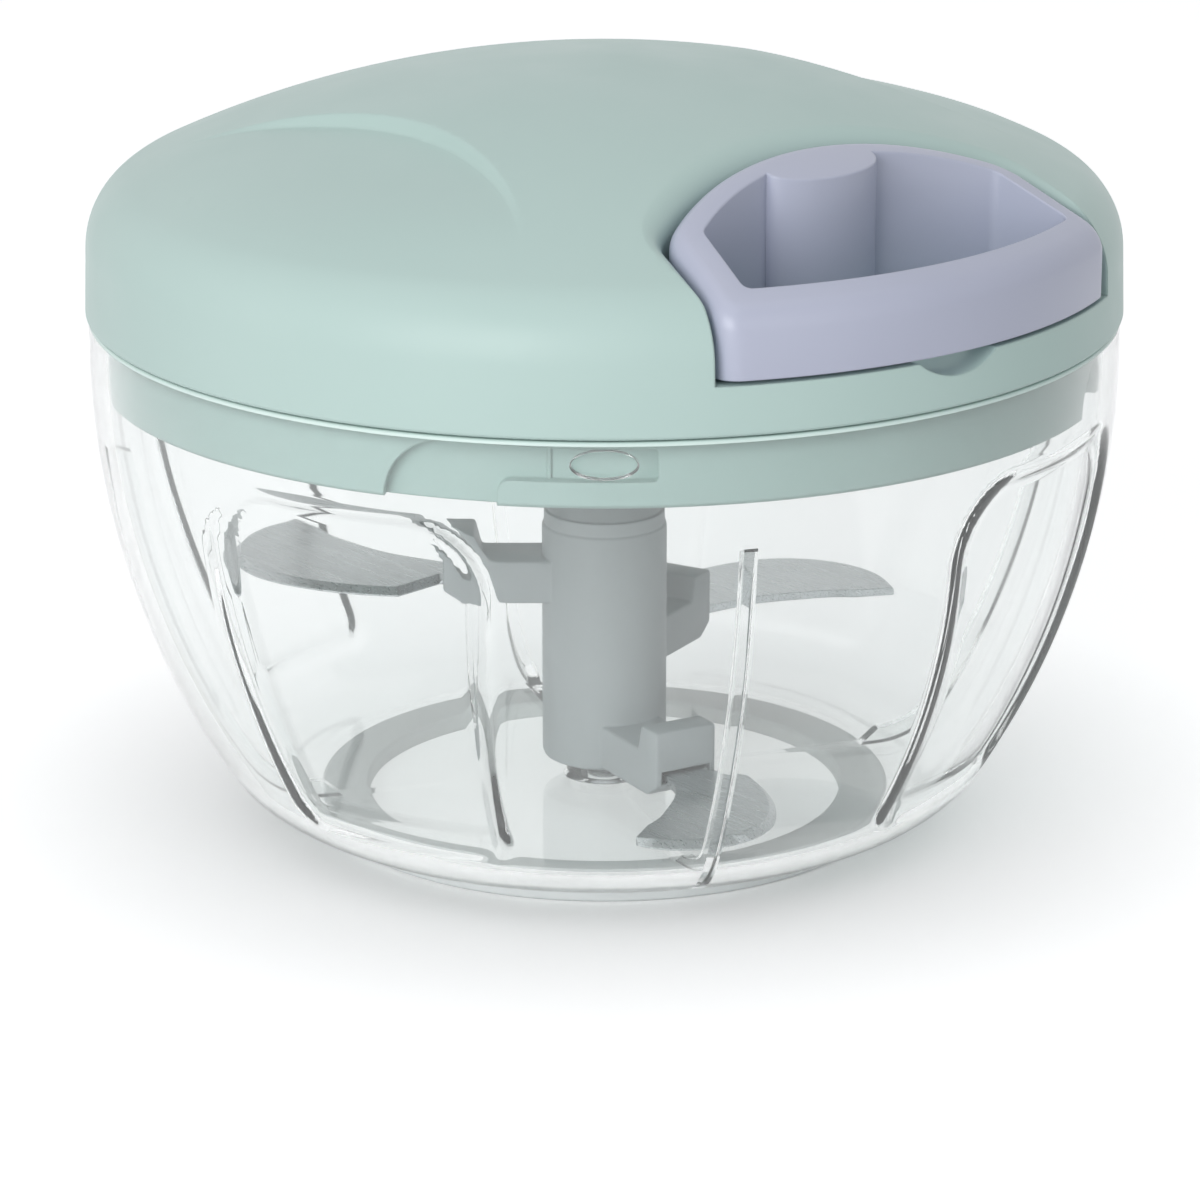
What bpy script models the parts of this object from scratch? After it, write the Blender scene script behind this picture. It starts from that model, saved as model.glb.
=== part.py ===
"""Pull-cord food chopper: clear bowl with a three-blade rotor, and a domed lid that holds the cord reel.

The origin is the middle of the foot on the table, +Z is up and +X is the way the handle is pulled.
Sizes are in millimetres; finished pieces are scaled to metres.
"""

import math

import bmesh
import bpy
from mathutils import Matrix

# Clearances
GAP = 0.3            # between pieces that rest on or lie in each other
RUN = 0.2            # radial play of a round piece that turns in a hole
PAST = 5.0           # how far a cutter runs past what it cuts
STEPS = 56           # facets round the large turned pieces

# Bowl
BOWL_R = 62.4        # outside radius at the rim
BOWL_WALL = 2.0
RIM_Z = 64.45        # top of the rim
BAND_H = 4.45        # straight band under the rim
SIDE_ARC_R = 96.6    # side wall, in section
CORNER_R = 13.8      # corner from the wall to the floor, in section
FLOOR_Z = 2.5        # underside of the floor
FOOT_INSET = 0.6     # foot ring, in from the floor's corner
FOOT_W = 6.0
FOOT_EDGE = 0.8
BOSS_R = 4.5         # seat of the centre pin
BOSS_H = 2.0
PIN_R = 2.0
PIN_H = 10.5         # free length of the pin above its boss
PIN_SEAT = 2.6       # depth of the pin in its boss
PIN_TIP = 0.8

# Arched panels pressed into the bowl's wall
PANELS = 4
PANEL_ANGLE = -70.5
PANEL_DEPTH = 1.3
PANEL_DROP = 13.45   # top of a panel, under the rim
PANEL_LIFT = 5.0     # foot of a panel, over the floor
PANEL_TOP_HALF = 18.8
PANEL_FOOT_HALF = 14.0
PANEL_CORNER_R = 11.0
PANEL_LOW_R = 3.0

# Upright ribs inside the bowl
RIBS = 4
RIB_ANGLE = -24.0
RIB_W = 1.6
RIB_H = 2.0
RIB_DROP = 14.85     # top of a rib, under the rim
RIB_CHAMFER = 1.2
RIB_ROOT = 1.0       # how deep a rib's foot is taken into the wall

# Bayonet: oval lugs in the bowl run in tracks cut in the lid's skirt
LUGS = 4
LUG_ANGLE = -41.0
LUG_W = 7.7
LUG_H = 3.4
LUG_DROP = 3.05      # middle of a lug, under the rim
LUG_REACH = 1.6      # from the wall
TRACK_PLAY = 0.4     # over a lug
TRACK_SIDE = 2.3     # free angle beside a lug, degrees
TRACK_CORNER_R = 5.5
TRACK_LIP = 3.05     # skirt left under a lug
TRACK_START_R = 1.5
TRACK_END_R = 0.6
UNLOCK = 17.5        # turn that frees the lid, degrees

# Lid cover, in section
LID_OVERHANG = 0.1   # past the bowl's rim
LID_WALL = 2.5
SHOULDER_R = 9.5
CROWN_R = 132.1
CROWN_WALL = 3.2
CROWN_ROOM = 3.8     # between the reel's cap and the top of the roof
PILLAR_R = 4.5       # pillar that holds the reel's axle and the spring
PILLAR_GAP = 1.2     # over the reel's floor

# Thumb scoops in the crown
SCOOP_NEAR = 30.4    # nearest to the lid's middle
SCOOP_ARC_R = 92.0
SCOOP_SHIFT = -7.0
SCOOP_DEPTH = 1.9
SCOOP_EDGE = 5.0     # where the scoop runs out, in from the lid's side

# Lid base
PLATE_INSET = 0.05   # plate, over the lid's lower edge
PLATE_T = 1.8
SKIRT_GAP = 0.7      # to the bowl's wall
SKIRT_T = 2.6
COLLAR_H = 3.6
COLLAR_T = 2.0
SCREW_INSET = 13.2   # in from the plate's edge
SCREW_ANGLES = (62.0, 140.0, -140.0, -62.0)
SCREW_R = 1.3
SCREW_L = 10.0
SCREW_TIP = 1.2
SCREW_ROOM = 1.5     # hole left over the screw
HEAD_R = 2.8
HEAD_H = 1.9
POST_R = 3.8

# Handle and its pocket
HANDLE_L = 28.8      # along the pull
HANDLE_HALF = 30.3   # half its width at the front
HANDLE_ARC_R = 52.0  # arched back, in plan
HANDLE_SLOPE = 14.0  # of the side walls in plan, degrees
HANDLE_CORNER_R = 6.0
HANDLE_NOSE_R = 2.0
HANDLE_BACK_T = 4.6
HANDLE_SIDE_T = 3.9
HANDLE_FRONT_T = 4.2
HANDLE_DROP = 0.4    # below the crown
HANDLE_EDGE_R = 3.9  # upper edge of the front
HANDLE_TOP_IN = 1.5  # where the top leaves the crown's curve, in from the front wall
HANDLE_LIFT = 0.5    # over the pocket's floor
GRIP_R = 3.0         # corners of the finger hole
CORD_BOSS_L = 7.5
CORD_BOSS_HALF = 8.3
CORD_BOSS_R = 2.4
POCKET_UP = 5.75     # pocket's floor over the lid's lower edge
POCKET_GAP = 0.8
POCKET_WALL = 2.0
SCALLOP_W = 18.0
SCALLOP_DEPTH = 2.4
SCALLOP_Y = 1.5
SCALLOP_L = 10.0

# Drive hub and its ratchet
SHAFT_HEAD_R = 7.1
SHAFT_PLAY = 0.9     # over the shaft's end
HEAD_DROP = 1.6      # shoulder of the shaft's head, under the hub
HUB_DEEP = 7.2       # hub's foot, under the plate
HUB_WALL = 2.0
HUB_CHAMFER = 0.6
RATCHET_H = 5.3
RATCHET_OUT = 3.1    # from the hub's side to the tips of the teeth
RATCHET_DEPTH = 1.7
TEETH = 12
FINS = 3
FIN_HALF = 9.0       # half width of a drive fin or rib, degrees
FIN_DEPTH = 2.1
FIN_SINK = 1.0       # how far a fin runs into what carries it
DRIVE_SLACK = UNLOCK + 1.5

# Reel, spring and cord
AXLE_R = 2.0
AXLE_SEAT = 3.5      # depth of the axle in the hub
AXLE_ROOM = 1.5      # between the axle's end and the roof's inside
AXLE_EDGE = 0.3
REEL_LIFT = 0.3      # over the hub
REEL_FLOOR_T = 1.5
FLANGE_W = 5.2
DRUM_R = 18.8
DRUM_T = 2.0
DRUM_ROOM = 1.025    # over the cord
CAP_T = 1.3
CAP_PLAY = 0.6       # round the pillar
SPRING_T = 0.4
SPRING_H = 8.0
SPRING_TURNS = 7
CORD_R = 0.9
CORD_GAP = 0.45      # between turns
CORD_TURNS = 3.9
CORD_PLAY = 0.4      # round the cord where it passes a hole
GUIDE_UP = 9.0       # over the handle's foot
GUIDE_FLANGE_R = 3.4
GUIDE_RIM = 1.0
GUIDE_T = 0.9
KNOT_R = 1.8
KNOT_PLAY = 0.6
KNOT_SEAT = 1.9      # wall that the knot pulls on

# Pawls under the reel
PAWL_OUT = 6.2       # pivots, outside the teeth
PAWL_LAG = 34.0      # pivot behind the tooth that the tip pushes, degrees
PAWL_LEAD = 0.8      # between the tip and its tooth
PAWL_EYE_R = 2.3
PAWL_PIN_R = 1.2
PAWL_H = 4.2
PAWL_TIP_W = 1.9

# Blade rotor
SHAFT_R = 7.7
SHAFT_EDGE = 0.8
SHAFT_LOW_H = 28.2   # the column narrows here
GROOVE_W = 1.4
GROOVE_DEPTH = 0.25
ARM_ANGLE = -131.0   # upper arm
ARM_OUT_R = 19.8
ARM_HALF = 4.2
ARM_H = 5.4
ARM_TAB_H = 3.1
ARM_TAB_T = 3.8
ARM_NOSE = 2.4       # chamfer under the arm's end
ARM_NOSE_H = 1.6
ARM_UP = 0.5         # first arm over the shaft's foot
ARM_PITCH = 10.05
BLADE_TIP_GAPS = (0.8, 1.7, 5.3)  # lower, middle and upper blade to the bowl's ribs
BLADE_T = 1.0
BLADE_UP = 2.2       # underside above the arm's foot
BLADE_EDGE = 3.0     # width of the ground edge
BLADE_LIP = 0.2      # thickness left at the edge
BLADE_NECK = 0.5     # straight part past the arm
BLADE_SET = 3.2      # middle of the blade's curve, past the arm
BLADE_MID = 22.5     # and behind the arm
BLADE_TIP_R = 17.2   # leading side, in plan
BLADE_BELLY = 13.5
BLADE_BACK_R = 14.3  # trailing side, in plan
BLADE_HOOK = 2.4
BLADE_HEEL = 2.0
TANG_HALF = 3.1
TANG_IN_R = 9.8

# Heights and radii that follow from the sizes above
FLOOR_TOP = FLOOR_Z + BOWL_WALL
SIDE_MID_R = BOWL_R - SIDE_ARC_R
SIDE_MID_Z = RIM_Z - BAND_H
CORNER_MID_Z = FLOOR_Z + CORNER_R
CORNER_MID_R = SIDE_MID_R + math.sqrt((SIDE_ARC_R - CORNER_R) ** 2 - (SIDE_MID_Z - CORNER_MID_Z) ** 2)
FOOT_OUT_R = CORNER_MID_R - FOOT_INSET
FOOT_IN_R = FOOT_OUT_R - FOOT_W
BOSS_TOP = FLOOR_TOP + BOSS_H
PIN_TOP = BOSS_TOP + PIN_H
PANEL_TOP_Z = RIM_Z - PANEL_DROP
PANEL_FOOT_Z = FLOOR_TOP + PANEL_LIFT
RIB_TOP_Z = RIM_Z - RIB_DROP
LUG_Z = RIM_Z - LUG_DROP
TRACK_TOP_Z = LUG_Z + LUG_H / 2 + TRACK_PLAY
TRACK_SHELF_Z = LUG_Z - LUG_H / 2 - GAP
SKIRT_FOOT_Z = TRACK_SHELF_Z - TRACK_LIP
LID_R = BOWL_R + LID_OVERHANG
LID_EDGE_Z = RIM_Z + GAP
PLATE_Z = LID_EDGE_Z + PLATE_INSET
PLATE_TOP = PLATE_Z + PLATE_T
PLATE_R = LID_R - LID_WALL - GAP
SKIRT_R = BOWL_R - BOWL_WALL - SKIRT_GAP
SCREW_RING_R = PLATE_R - SCREW_INSET
POCKET_FLOOR_Z = LID_EDGE_Z + POCKET_UP
POCKET_SOLE = PLATE_TOP + GAP
SOCKET_R = SHAFT_HEAD_R + GAP
HUB_R = SOCKET_R + HUB_WALL
HUB_FOOT_Z = PLATE_Z - HUB_DEEP
HUB_FLANGE_Z = PLATE_TOP + GAP
HUB_TOP = HUB_FLANGE_Z + RATCHET_H
RATCHET_R = HUB_R + RATCHET_OUT
WEB_Z = PLATE_TOP - GAP
REEL_Z = HUB_TOP + REEL_LIFT
REEL_R = DRUM_R + FLANGE_W
CORD_PITCH = 2 * CORD_R + CORD_GAP
DRUM_Z = REEL_Z + REEL_FLOOR_T
DRUM_TOP = DRUM_Z + CORD_TURNS * CORD_PITCH + 2 * CORD_R + DRUM_ROOM
CAP_Z = DRUM_TOP + GAP
CROWN_Z = CAP_Z + CAP_T + CROWN_ROOM + CROWN_WALL
CROWN_MID = CROWN_Z - CROWN_R
PILLAR_FOOT_Z = DRUM_Z + PILLAR_GAP
AXLE_FOOT = HUB_TOP - AXLE_SEAT
AXLE_TOP = CROWN_Z - CROWN_WALL - AXLE_ROOM
BORE_R = AXLE_R + RUN
CORD_PATH_R = DRUM_R + GAP + CORD_R
HANDLE_BACK_X = LID_R - HANDLE_L
HANDLE_FOOT_Z = POCKET_FLOOR_Z + HANDLE_LIFT
CORD_BOSS_X = HANDLE_BACK_X + CORD_BOSS_L
POCKET_BACK_X = HANDLE_BACK_X - POCKET_GAP
GUIDE_BACK_X = POCKET_BACK_X - POCKET_WALL
GUIDE_Z = HANDLE_FOOT_Z + GUIDE_UP
KNOT_X = HANDLE_BACK_X + KNOT_SEAT + KNOT_R
PAWL_RING_R = RATCHET_R + PAWL_OUT
SHAFT_FOOT = BOSS_TOP + GAP
SHAFT_WAIST_Z = SHAFT_FOOT + SHAFT_LOW_H
ARM_FEET = [SHAFT_FOOT + ARM_UP + i * ARM_PITCH for i in range(3)]


def heading(angle):
    """Cosine and sine of an angle in degrees."""
    return math.cos(math.radians(angle)), math.sin(math.radians(angle))


def arc(cx, cy, r, a0, a1, n):
    """Points on a circle from a0 to a1 degrees."""
    return [(cx + r * math.cos(math.radians(a0 + (a1 - a0) * i / n)),
             cy + r * math.sin(math.radians(a0 + (a1 - a0) * i / n))) for i in range(n + 1)]


def rounded(points, radii, n=5):
    """An outline whose corners are rounded, each by its own radius."""
    out = []
    for i, (x, y) in enumerate(points):
        r = radii[i]
        if r <= 0:
            out.append((x, y))
            continue
        ax, ay = points[i - 1][0] - x, points[i - 1][1] - y
        bx, by = points[(i + 1) % len(points)][0] - x, points[(i + 1) % len(points)][1] - y
        la, lb = math.hypot(ax, ay), math.hypot(bx, by)
        ax, ay, bx, by = ax / la, ay / la, bx / lb, by / lb
        half = math.acos(max(-1.0, min(1.0, ax * bx + ay * by))) / 2
        t = r / math.tan(half)
        mx, my = ax + bx, ay + by
        lm = math.hypot(mx, my)
        cx, cy = x + mx / lm * r / math.sin(half), y + my / lm * r / math.sin(half)
        a0 = math.degrees(math.atan2(y + ay * t - cy, x + ax * t - cx))
        a1 = math.degrees(math.atan2(y + by * t - cy, x + bx * t - cx))
        while a1 - a0 > 180:
            a1 -= 360
        while a1 - a0 < -180:
            a1 += 360
        out += arc(cx, cy, r, a0, a1, n)
    return out


def clean(bm):
    bmesh.ops.remove_doubles(bm, verts=bm.verts, dist=1e-4)
    bmesh.ops.recalc_face_normals(bm, faces=bm.faces)
    return bm


def turned(profile, steps=STEPS, axis="Z"):
    """A profile of (radius, height) points spun round the axis; one that ends on the axis is closed there."""
    bm = bmesh.new()
    verts = [bm.verts.new((r, 0, z)) for r, z in profile]
    pairs = list(zip(verts, verts[1:]))
    if profile[0][0] > 1e-6 or profile[-1][0] > 1e-6:
        pairs.append((verts[-1], verts[0]))
    edges = [bm.edges.new(p) for p in pairs]
    bmesh.ops.spin(bm, geom=verts + edges, cent=(0, 0, 0), axis=(0, 0, 1), dvec=(0, 0, 0),
                   angle=math.tau, steps=steps, use_merge=True, use_duplicate=False)
    clean(bm)
    if axis == "X":
        bmesh.ops.rotate(bm, verts=bm.verts, cent=(0, 0, 0), matrix=Matrix.Rotation(math.pi / 2, 3, "Y"))
    return bm


def rod(r, z0, z1, steps=24, at=(0.0, 0.0)):
    bm = turned([(0, z0), (r, z0), (r, z1), (0, z1)], steps)
    return moved(bm, at[0], at[1], 0)


def prism(outline, z0, z1):
    """An outline in plan, extruded upwards."""
    bm = bmesh.new()
    face = bm.faces.new([bm.verts.new((x, y, z0)) for x, y in outline])
    top = bmesh.ops.extrude_face_region(bm, geom=[face])["geom"]
    bmesh.ops.translate(bm, verts=[v for v in top if isinstance(v, bmesh.types.BMVert)], vec=(0, 0, z1 - z0))
    return clean(bm)


def radial_prism(outline, angle, r0, r1):
    """An outline of (sideways, height) points, extruded outwards at an angle round the axis."""
    bm = bmesh.new()
    face = bm.faces.new([bm.verts.new((r0, u, z)) for u, z in outline])
    out = bmesh.ops.extrude_face_region(bm, geom=[face])["geom"]
    bmesh.ops.translate(bm, verts=[v for v in out if isinstance(v, bmesh.types.BMVert)], vec=(r1 - r0, 0, 0))
    return turned_to(clean(bm), angle)


def fin(outline, angle, half):
    """An outline of (radius, height) points, as an upright plate that stands at an angle."""
    bm = bmesh.new()
    face = bm.faces.new([bm.verts.new((r, -half, z)) for r, z in outline])
    out = bmesh.ops.extrude_face_region(bm, geom=[face])["geom"]
    bmesh.ops.translate(bm, verts=[v for v in out if isinstance(v, bmesh.types.BMVert)], vec=(0, 2 * half, 0))
    return turned_to(clean(bm), angle)


def sector(r0, r1, a0, a1, z0, z1, n=4):
    """A block between two radii and two angles."""
    outline = arc(0, 0, r0, a0, a1, n) + arc(0, 0, r1, a1, a0, n)
    return prism(outline, z0, z1)


def turned_to(bm, angle):
    bmesh.ops.rotate(bm, verts=bm.verts, cent=(0, 0, 0), matrix=Matrix.Rotation(math.radians(angle), 3, "Z"))
    return bm


def moved(bm, x, y, z):
    bmesh.ops.translate(bm, verts=bm.verts, vec=(x, y, z))
    return bm


def together(shapes):
    """Several shapes that don't touch, as one cutter."""
    out = bmesh.new()
    for bm in shapes:
        mesh = bpy.data.meshes.new("part")
        bm.to_mesh(mesh)
        bm.free()
        out.from_mesh(mesh)
        bpy.data.meshes.remove(mesh)
    return out


def around(make, count, first=0.0):
    return together([make(first + i * 360.0 / count) for i in range(count)])


def solid(bm, name="work"):
    mesh = bpy.data.meshes.new(name)
    bm.to_mesh(mesh)
    bm.free()
    obj = bpy.data.objects.new(name, mesh)
    bpy.context.scene.collection.objects.link(obj)
    return obj


def boolean(target, tool, operation):
    """Applies one Boolean step and removes its tool."""
    if not isinstance(tool, bpy.types.Object):
        tool = solid(tool, "tool")
    tool.hide_render = True
    tool.display_type = "WIRE"
    mod = target.modifiers.new(operation.lower(), "BOOLEAN")
    mod.operation = operation
    mod.solver = "EXACT"
    mod.object = tool
    bpy.context.view_layer.update()
    graph = bpy.context.evaluated_depsgraph_get()
    mesh = bpy.data.meshes.new_from_object(target.evaluated_get(graph))
    target.modifiers.clear()
    old = target.data
    target.data = mesh
    bpy.data.meshes.remove(old)
    old = tool.data
    bpy.data.objects.remove(tool)
    bpy.data.meshes.remove(old)
    return target


def cut(target, *tools):
    for tool in tools:
        boolean(target, tool, "DIFFERENCE")
    return target


def fuse(target, *tools):
    for tool in tools:
        boolean(target, tool, "UNION")
    return target


def keep(target, tool):
    return boolean(target, tool, "INTERSECT")


def material(name, rgb, rough, metal=0.0, alpha=1.0):
    mat = bpy.data.materials.new(name)
    mat.use_nodes = True
    shader = mat.node_tree.nodes["Principled BSDF"]
    shader.inputs["Base Color"].default_value = (*rgb, 1.0)
    shader.inputs["Roughness"].default_value = rough
    shader.inputs["Metallic"].default_value = metal
    shader.inputs["Alpha"].default_value = alpha
    mat.diffuse_color = (*rgb, alpha)
    return mat


def finish(obj, name, look, at=(0.0, 0.0, 0.0), sharp=35.0):
    """Names a finished piece, scales it to metres, shades it and gives it its material."""
    obj.name = name
    obj.data.name = name
    bm = bmesh.new()
    bm.from_mesh(obj.data)
    bmesh.ops.remove_doubles(bm, verts=bm.verts, dist=5e-4)
    bmesh.ops.dissolve_degenerate(bm, edges=bm.edges, dist=5e-4)
    loose = [v for v in bm.verts if not v.link_faces]
    bmesh.ops.delete(bm, geom=loose, context="VERTS")
    bmesh.ops.scale(bm, verts=bm.verts, vec=(0.001, 0.001, 0.001))
    bm.to_mesh(obj.data)
    bm.free()
    obj.location = [c * 0.001 for c in at]
    obj.data.shade_smooth()
    obj.data.set_sharp_from_angle(angle=math.radians(sharp))
    obj.data.materials.clear()
    obj.data.materials.append(material(name, *look))
    return obj


# Sections of the bowl and the lid
def bowl_section(inset, top):
    """The bowl's outside, moved inwards by inset, from the rim to the axis."""
    return [(BOWL_R - inset, top)] + wall_arcs(inset, SIDE_MID_Z) + [(0, FLOOR_Z + inset), (0, top)]


def wall_arcs(inset, start_z):
    """The wall's two arcs, moved inwards by inset, from a height down to the floor."""
    turn = math.degrees(math.atan2(CORNER_MID_Z - SIDE_MID_Z, CORNER_MID_R - SIDE_MID_R))
    start = math.degrees(math.asin((start_z - SIDE_MID_Z) / (SIDE_ARC_R - inset)))
    side = arc(SIDE_MID_R, SIDE_MID_Z, SIDE_ARC_R - inset, start, turn, 6)
    return side + arc(CORNER_MID_R, CORNER_MID_Z, CORNER_R - inset, turn, -90, 4)[1:]


def wall_r(z, inset):
    """Radius of the bowl's wall at a height."""
    tie_z = SIDE_MID_Z + (CORNER_MID_Z - SIDE_MID_Z) * (SIDE_ARC_R - inset) / (SIDE_ARC_R - CORNER_R)
    if z >= SIDE_MID_Z:
        return BOWL_R - inset
    if z >= tie_z:
        return SIDE_MID_R + math.sqrt((SIDE_ARC_R - inset) ** 2 - (z - SIDE_MID_Z) ** 2)
    return CORNER_MID_R + math.sqrt((CORNER_R - inset) ** 2 - (CORNER_MID_Z - z) ** 2)


def crown_z(r, drop=0.0):
    return CROWN_MID + math.sqrt((CROWN_R - drop) ** 2 - r * r)


def lid_section():
    """The lid's outside, from the lower edge over the shoulder to the top."""
    mid_r = LID_R - SHOULDER_R
    reach = CROWN_R - SHOULDER_R
    mid_z = CROWN_MID + math.sqrt(reach ** 2 - mid_r ** 2)
    turn = math.degrees(math.atan2(mid_z - CROWN_MID, mid_r))
    shoulder = arc(mid_r, mid_z, SHOULDER_R, 0, turn, 5)
    crown = arc(0, CROWN_MID, CROWN_R, turn, 90, 5)
    return [(0, LID_EDGE_Z), (LID_R, LID_EDGE_Z)] + shoulder + crown[1:]


def lid_cavity():
    mid_r = LID_R - SHOULDER_R
    inner = SHOULDER_R - LID_WALL
    roof = CROWN_R - CROWN_WALL
    mid_z = CROWN_MID + math.sqrt((roof - inner) ** 2 - mid_r ** 2)
    turn = math.degrees(math.atan2(mid_z - CROWN_MID, mid_r))
    shoulder = arc(mid_r, mid_z, inner, 0, turn, 3)
    crown = arc(0, CROWN_MID, roof, turn, 90, 3)
    return [(0, LID_EDGE_Z - PAST), (LID_R - LID_WALL, LID_EDGE_Z - PAST)] + shoulder + crown[1:]


def bay_outline(back, side, front_r, corner_r, nose_r, n=12):
    """Plan of the handle: arched back, leaning sides, round front; back and side move it inwards."""
    kx, big = HANDLE_BACK_X + HANDLE_ARC_R, HANDLE_ARC_R - back
    dx, dy = heading(HANDLE_SLOPE)
    nx, ny = dy, -dx
    px = math.sqrt(LID_R ** 2 - HANDLE_HALF ** 2) + nx * side
    py = HANDLE_HALF + ny * side

    def meet(cx, reach, off, far):
        ox, oy = px + nx * off - cx, py + ny * off
        b = ox * dx + oy * dy
        t = -b + (1 if far else -1) * math.sqrt(b * b - (ox * ox + oy * oy - reach * reach))
        return px + nx * off + t * dx, py + ny * off + t * dy

    bx, by = meet(kx, big - corner_r, corner_r, False)
    fx, fy = meet(0.0, front_r - nose_r, nose_r, True)
    down = HANDLE_SLOPE + 90.0
    back_a = math.degrees(math.atan2(by, bx - kx))
    front_a = math.degrees(math.atan2(fy, fx))
    half = arc(0, 0, front_r, 0, front_a, n)
    if nose_r > 0:
        half += arc(fx, fy, nose_r, front_a, down, 3)[1:]
    half += arc(bx, by, corner_r, down, back_a, 5)
    half += arc(kx, 0, big, back_a, 180, n)[1:]
    return half + [(x, -y) for x, y in half[-2:0:-1]]


# Looks: colour, roughness, metallic, alpha
MINT = ((0.47, 0.68, 0.62), 0.42)
MINT_BASE = ((0.42, 0.63, 0.57), 0.45)
LAVENDER = ((0.40, 0.42, 0.52), 0.38)
CLEAR = ((0.90, 0.94, 0.94), 0.06, 0.0, 0.25)
FOOT = ((0.74, 0.76, 0.76), 0.6)
GREY = ((0.36, 0.39, 0.40), 0.5)
WHITE = ((0.75, 0.76, 0.75), 0.45)
STEEL = ((0.62, 0.64, 0.66), 0.25, 1.0)
SPRING = ((0.28, 0.30, 0.34), 0.3, 1.0)
CORD = ((0.72, 0.74, 0.74), 0.8)


def make_bowl():
    bowl = solid(turned(bowl_section(0.0, RIM_Z)))
    outline = rounded([(-PANEL_FOOT_HALF, PANEL_FOOT_Z), (PANEL_FOOT_HALF, PANEL_FOOT_Z),
                       (PANEL_TOP_HALF, PANEL_TOP_Z), (-PANEL_TOP_HALF, PANEL_TOP_Z)],
                      [PANEL_LOW_R, PANEL_LOW_R, PANEL_CORNER_R, PANEL_CORNER_R])

    def panel(angle):
        return radial_prism(outline, angle, FOOT_IN_R, BOWL_R + PAST)

    def press(depth):
        block = solid(around(panel, PANELS, PANEL_ANGLE))
        return cut(block, turned(bowl_section(depth, RIM_Z + PAST)))

    cut(bowl, press(PANEL_DEPTH))
    hollow = solid(turned(bowl_section(BOWL_WALL, RIM_Z + PAST)))
    cut(hollow, press(BOWL_WALL + PANEL_DEPTH))

    outer = wall_arcs(BOWL_WALL - RIB_ROOT, RIB_TOP_Z)
    inner = wall_arcs(BOWL_WALL + RIB_H, RIB_TOP_Z - RIB_CHAMFER)
    low = FLOOR_TOP - RIB_ROOT
    rib = ([(outer[0][0], RIB_TOP_Z), (inner[0][0] + RIB_CHAMFER, RIB_TOP_Z)] + inner
           + [(inner[-1][0], low), (outer[-1][0], low)] + outer[-2:0:-1])
    cut(hollow, around(lambda a: fin(rib, a, RIB_W / 2), RIBS, RIB_ANGLE))
    cut(hollow, rod(BOSS_R, FLOOR_TOP - RIB_ROOT, BOSS_TOP, 32))

    oval = [(LUG_W / 2 * x, LUG_Z + LUG_H / 2 * z) for x, z in arc(0, 0, 1, 0, 345, 23)]
    inside = BOWL_R - BOWL_WALL
    cut(hollow, around(lambda a: radial_prism(oval, a, inside - LUG_REACH, BOWL_R + PAST), LUGS, LUG_ANGLE))
    cut(bowl, hollow)
    cut(bowl, rod(PIN_R + RUN, BOSS_TOP - PIN_SEAT, BOSS_TOP + PAST, 24))
    return finish(bowl, "bowl", CLEAR)


def make_bowl_fittings():
    top = FLOOR_Z - GAP
    foot = turned([(FOOT_IN_R, top), (FOOT_OUT_R, top), (FOOT_OUT_R, FOOT_EDGE), (FOOT_OUT_R - FOOT_EDGE, 0),
                   (FOOT_IN_R, 0)], 48)
    finish(solid(foot), "foot_pad", FOOT)
    base = BOSS_TOP - PIN_SEAT + GAP
    pin = [(0, base), (PIN_R - PIN_TIP, base), (PIN_R, base + PIN_TIP), (PIN_R, PIN_TOP - PIN_TIP),
           (PIN_R - PIN_TIP, PIN_TOP), (0, PIN_TOP)]
    finish(solid(turned(pin, 24)), "centre_pin", STEEL)


def blade_curve(k, side):
    """Points of a blade's leading or trailing side in plan, with its curve scaled by k."""
    out = []
    for i in range(14):
        a = 86.0 - 81.0 * i / 13
        if side == "lead":
            r = BLADE_TIP_R + BLADE_BELLY * math.sin(math.pi / 2 * min(1.0, (a - 5.0) / 50.0)) ** 0.8
        else:
            r = (BLADE_BACK_R + BLADE_HOOK * max(0.0, (24.0 - a) / 19.0) ** 1.5
                 + BLADE_HEEL * max(0.0, (a - 48.0) / 28.0) ** 1.5)
        c, s = heading(a)
        out.append((ARM_OUT_R + BLADE_SET + k * r * c, k * (r * s - BLADE_MID)))
    return out


def blade(number, arm_z):
    """A curved blade with a ground leading edge and a tang that lies in its arm."""
    low, high = arm_z + BLADE_UP, arm_z + BLADE_UP + BLADE_T
    reach = wall_r(low, BOWL_WALL + RIB_H) - BLADE_TIP_GAPS[number]
    small, k = 0.0, 2.0
    for _ in range(30):
        half = (small + k) / 2
        if max(math.hypot(x, y) for x, y in blade_curve(half, "lead")) < reach:
            small = half
        else:
            k = half
    neck = ARM_OUT_R + BLADE_NECK
    plan = [((TANG_IN_R, -TANG_HALF), (TANG_IN_R, TANG_HALF), BLADE_LIP),
            ((neck, -TANG_HALF), (neck, TANG_HALF), 2 * BLADE_LIP)]
    for inner, outer in zip(blade_curve(k, "trail"), blade_curve(k, "lead")):
        plan.append((inner, outer, min(BLADE_EDGE, 0.7 * math.dist(inner, outer))))
    bm = bmesh.new()
    rings = []
    for (ix, iy), (ox, oy), edge in plan:
        width = math.hypot(ox - ix, oy - iy)
        ex, ey = ox + (ix - ox) * edge / width, oy + (iy - oy) * edge / width
        rings.append([bm.verts.new(p) for p in ((ix, iy, low), (ox, oy, low), (ox, oy, low + BLADE_LIP),
                                                (ex, ey, high), (ix, iy, high))])
    for a, b in zip(rings, rings[1:]):
        for i in range(5):
            j = (i + 1) % 5
            bm.faces.new((a[i], a[j], b[j], b[i]))
    bm.faces.new(rings[0][::-1])
    bm.faces.new(rings[-1])
    bmesh.ops.recalc_face_normals(bm, faces=bm.faces)
    return bm


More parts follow.
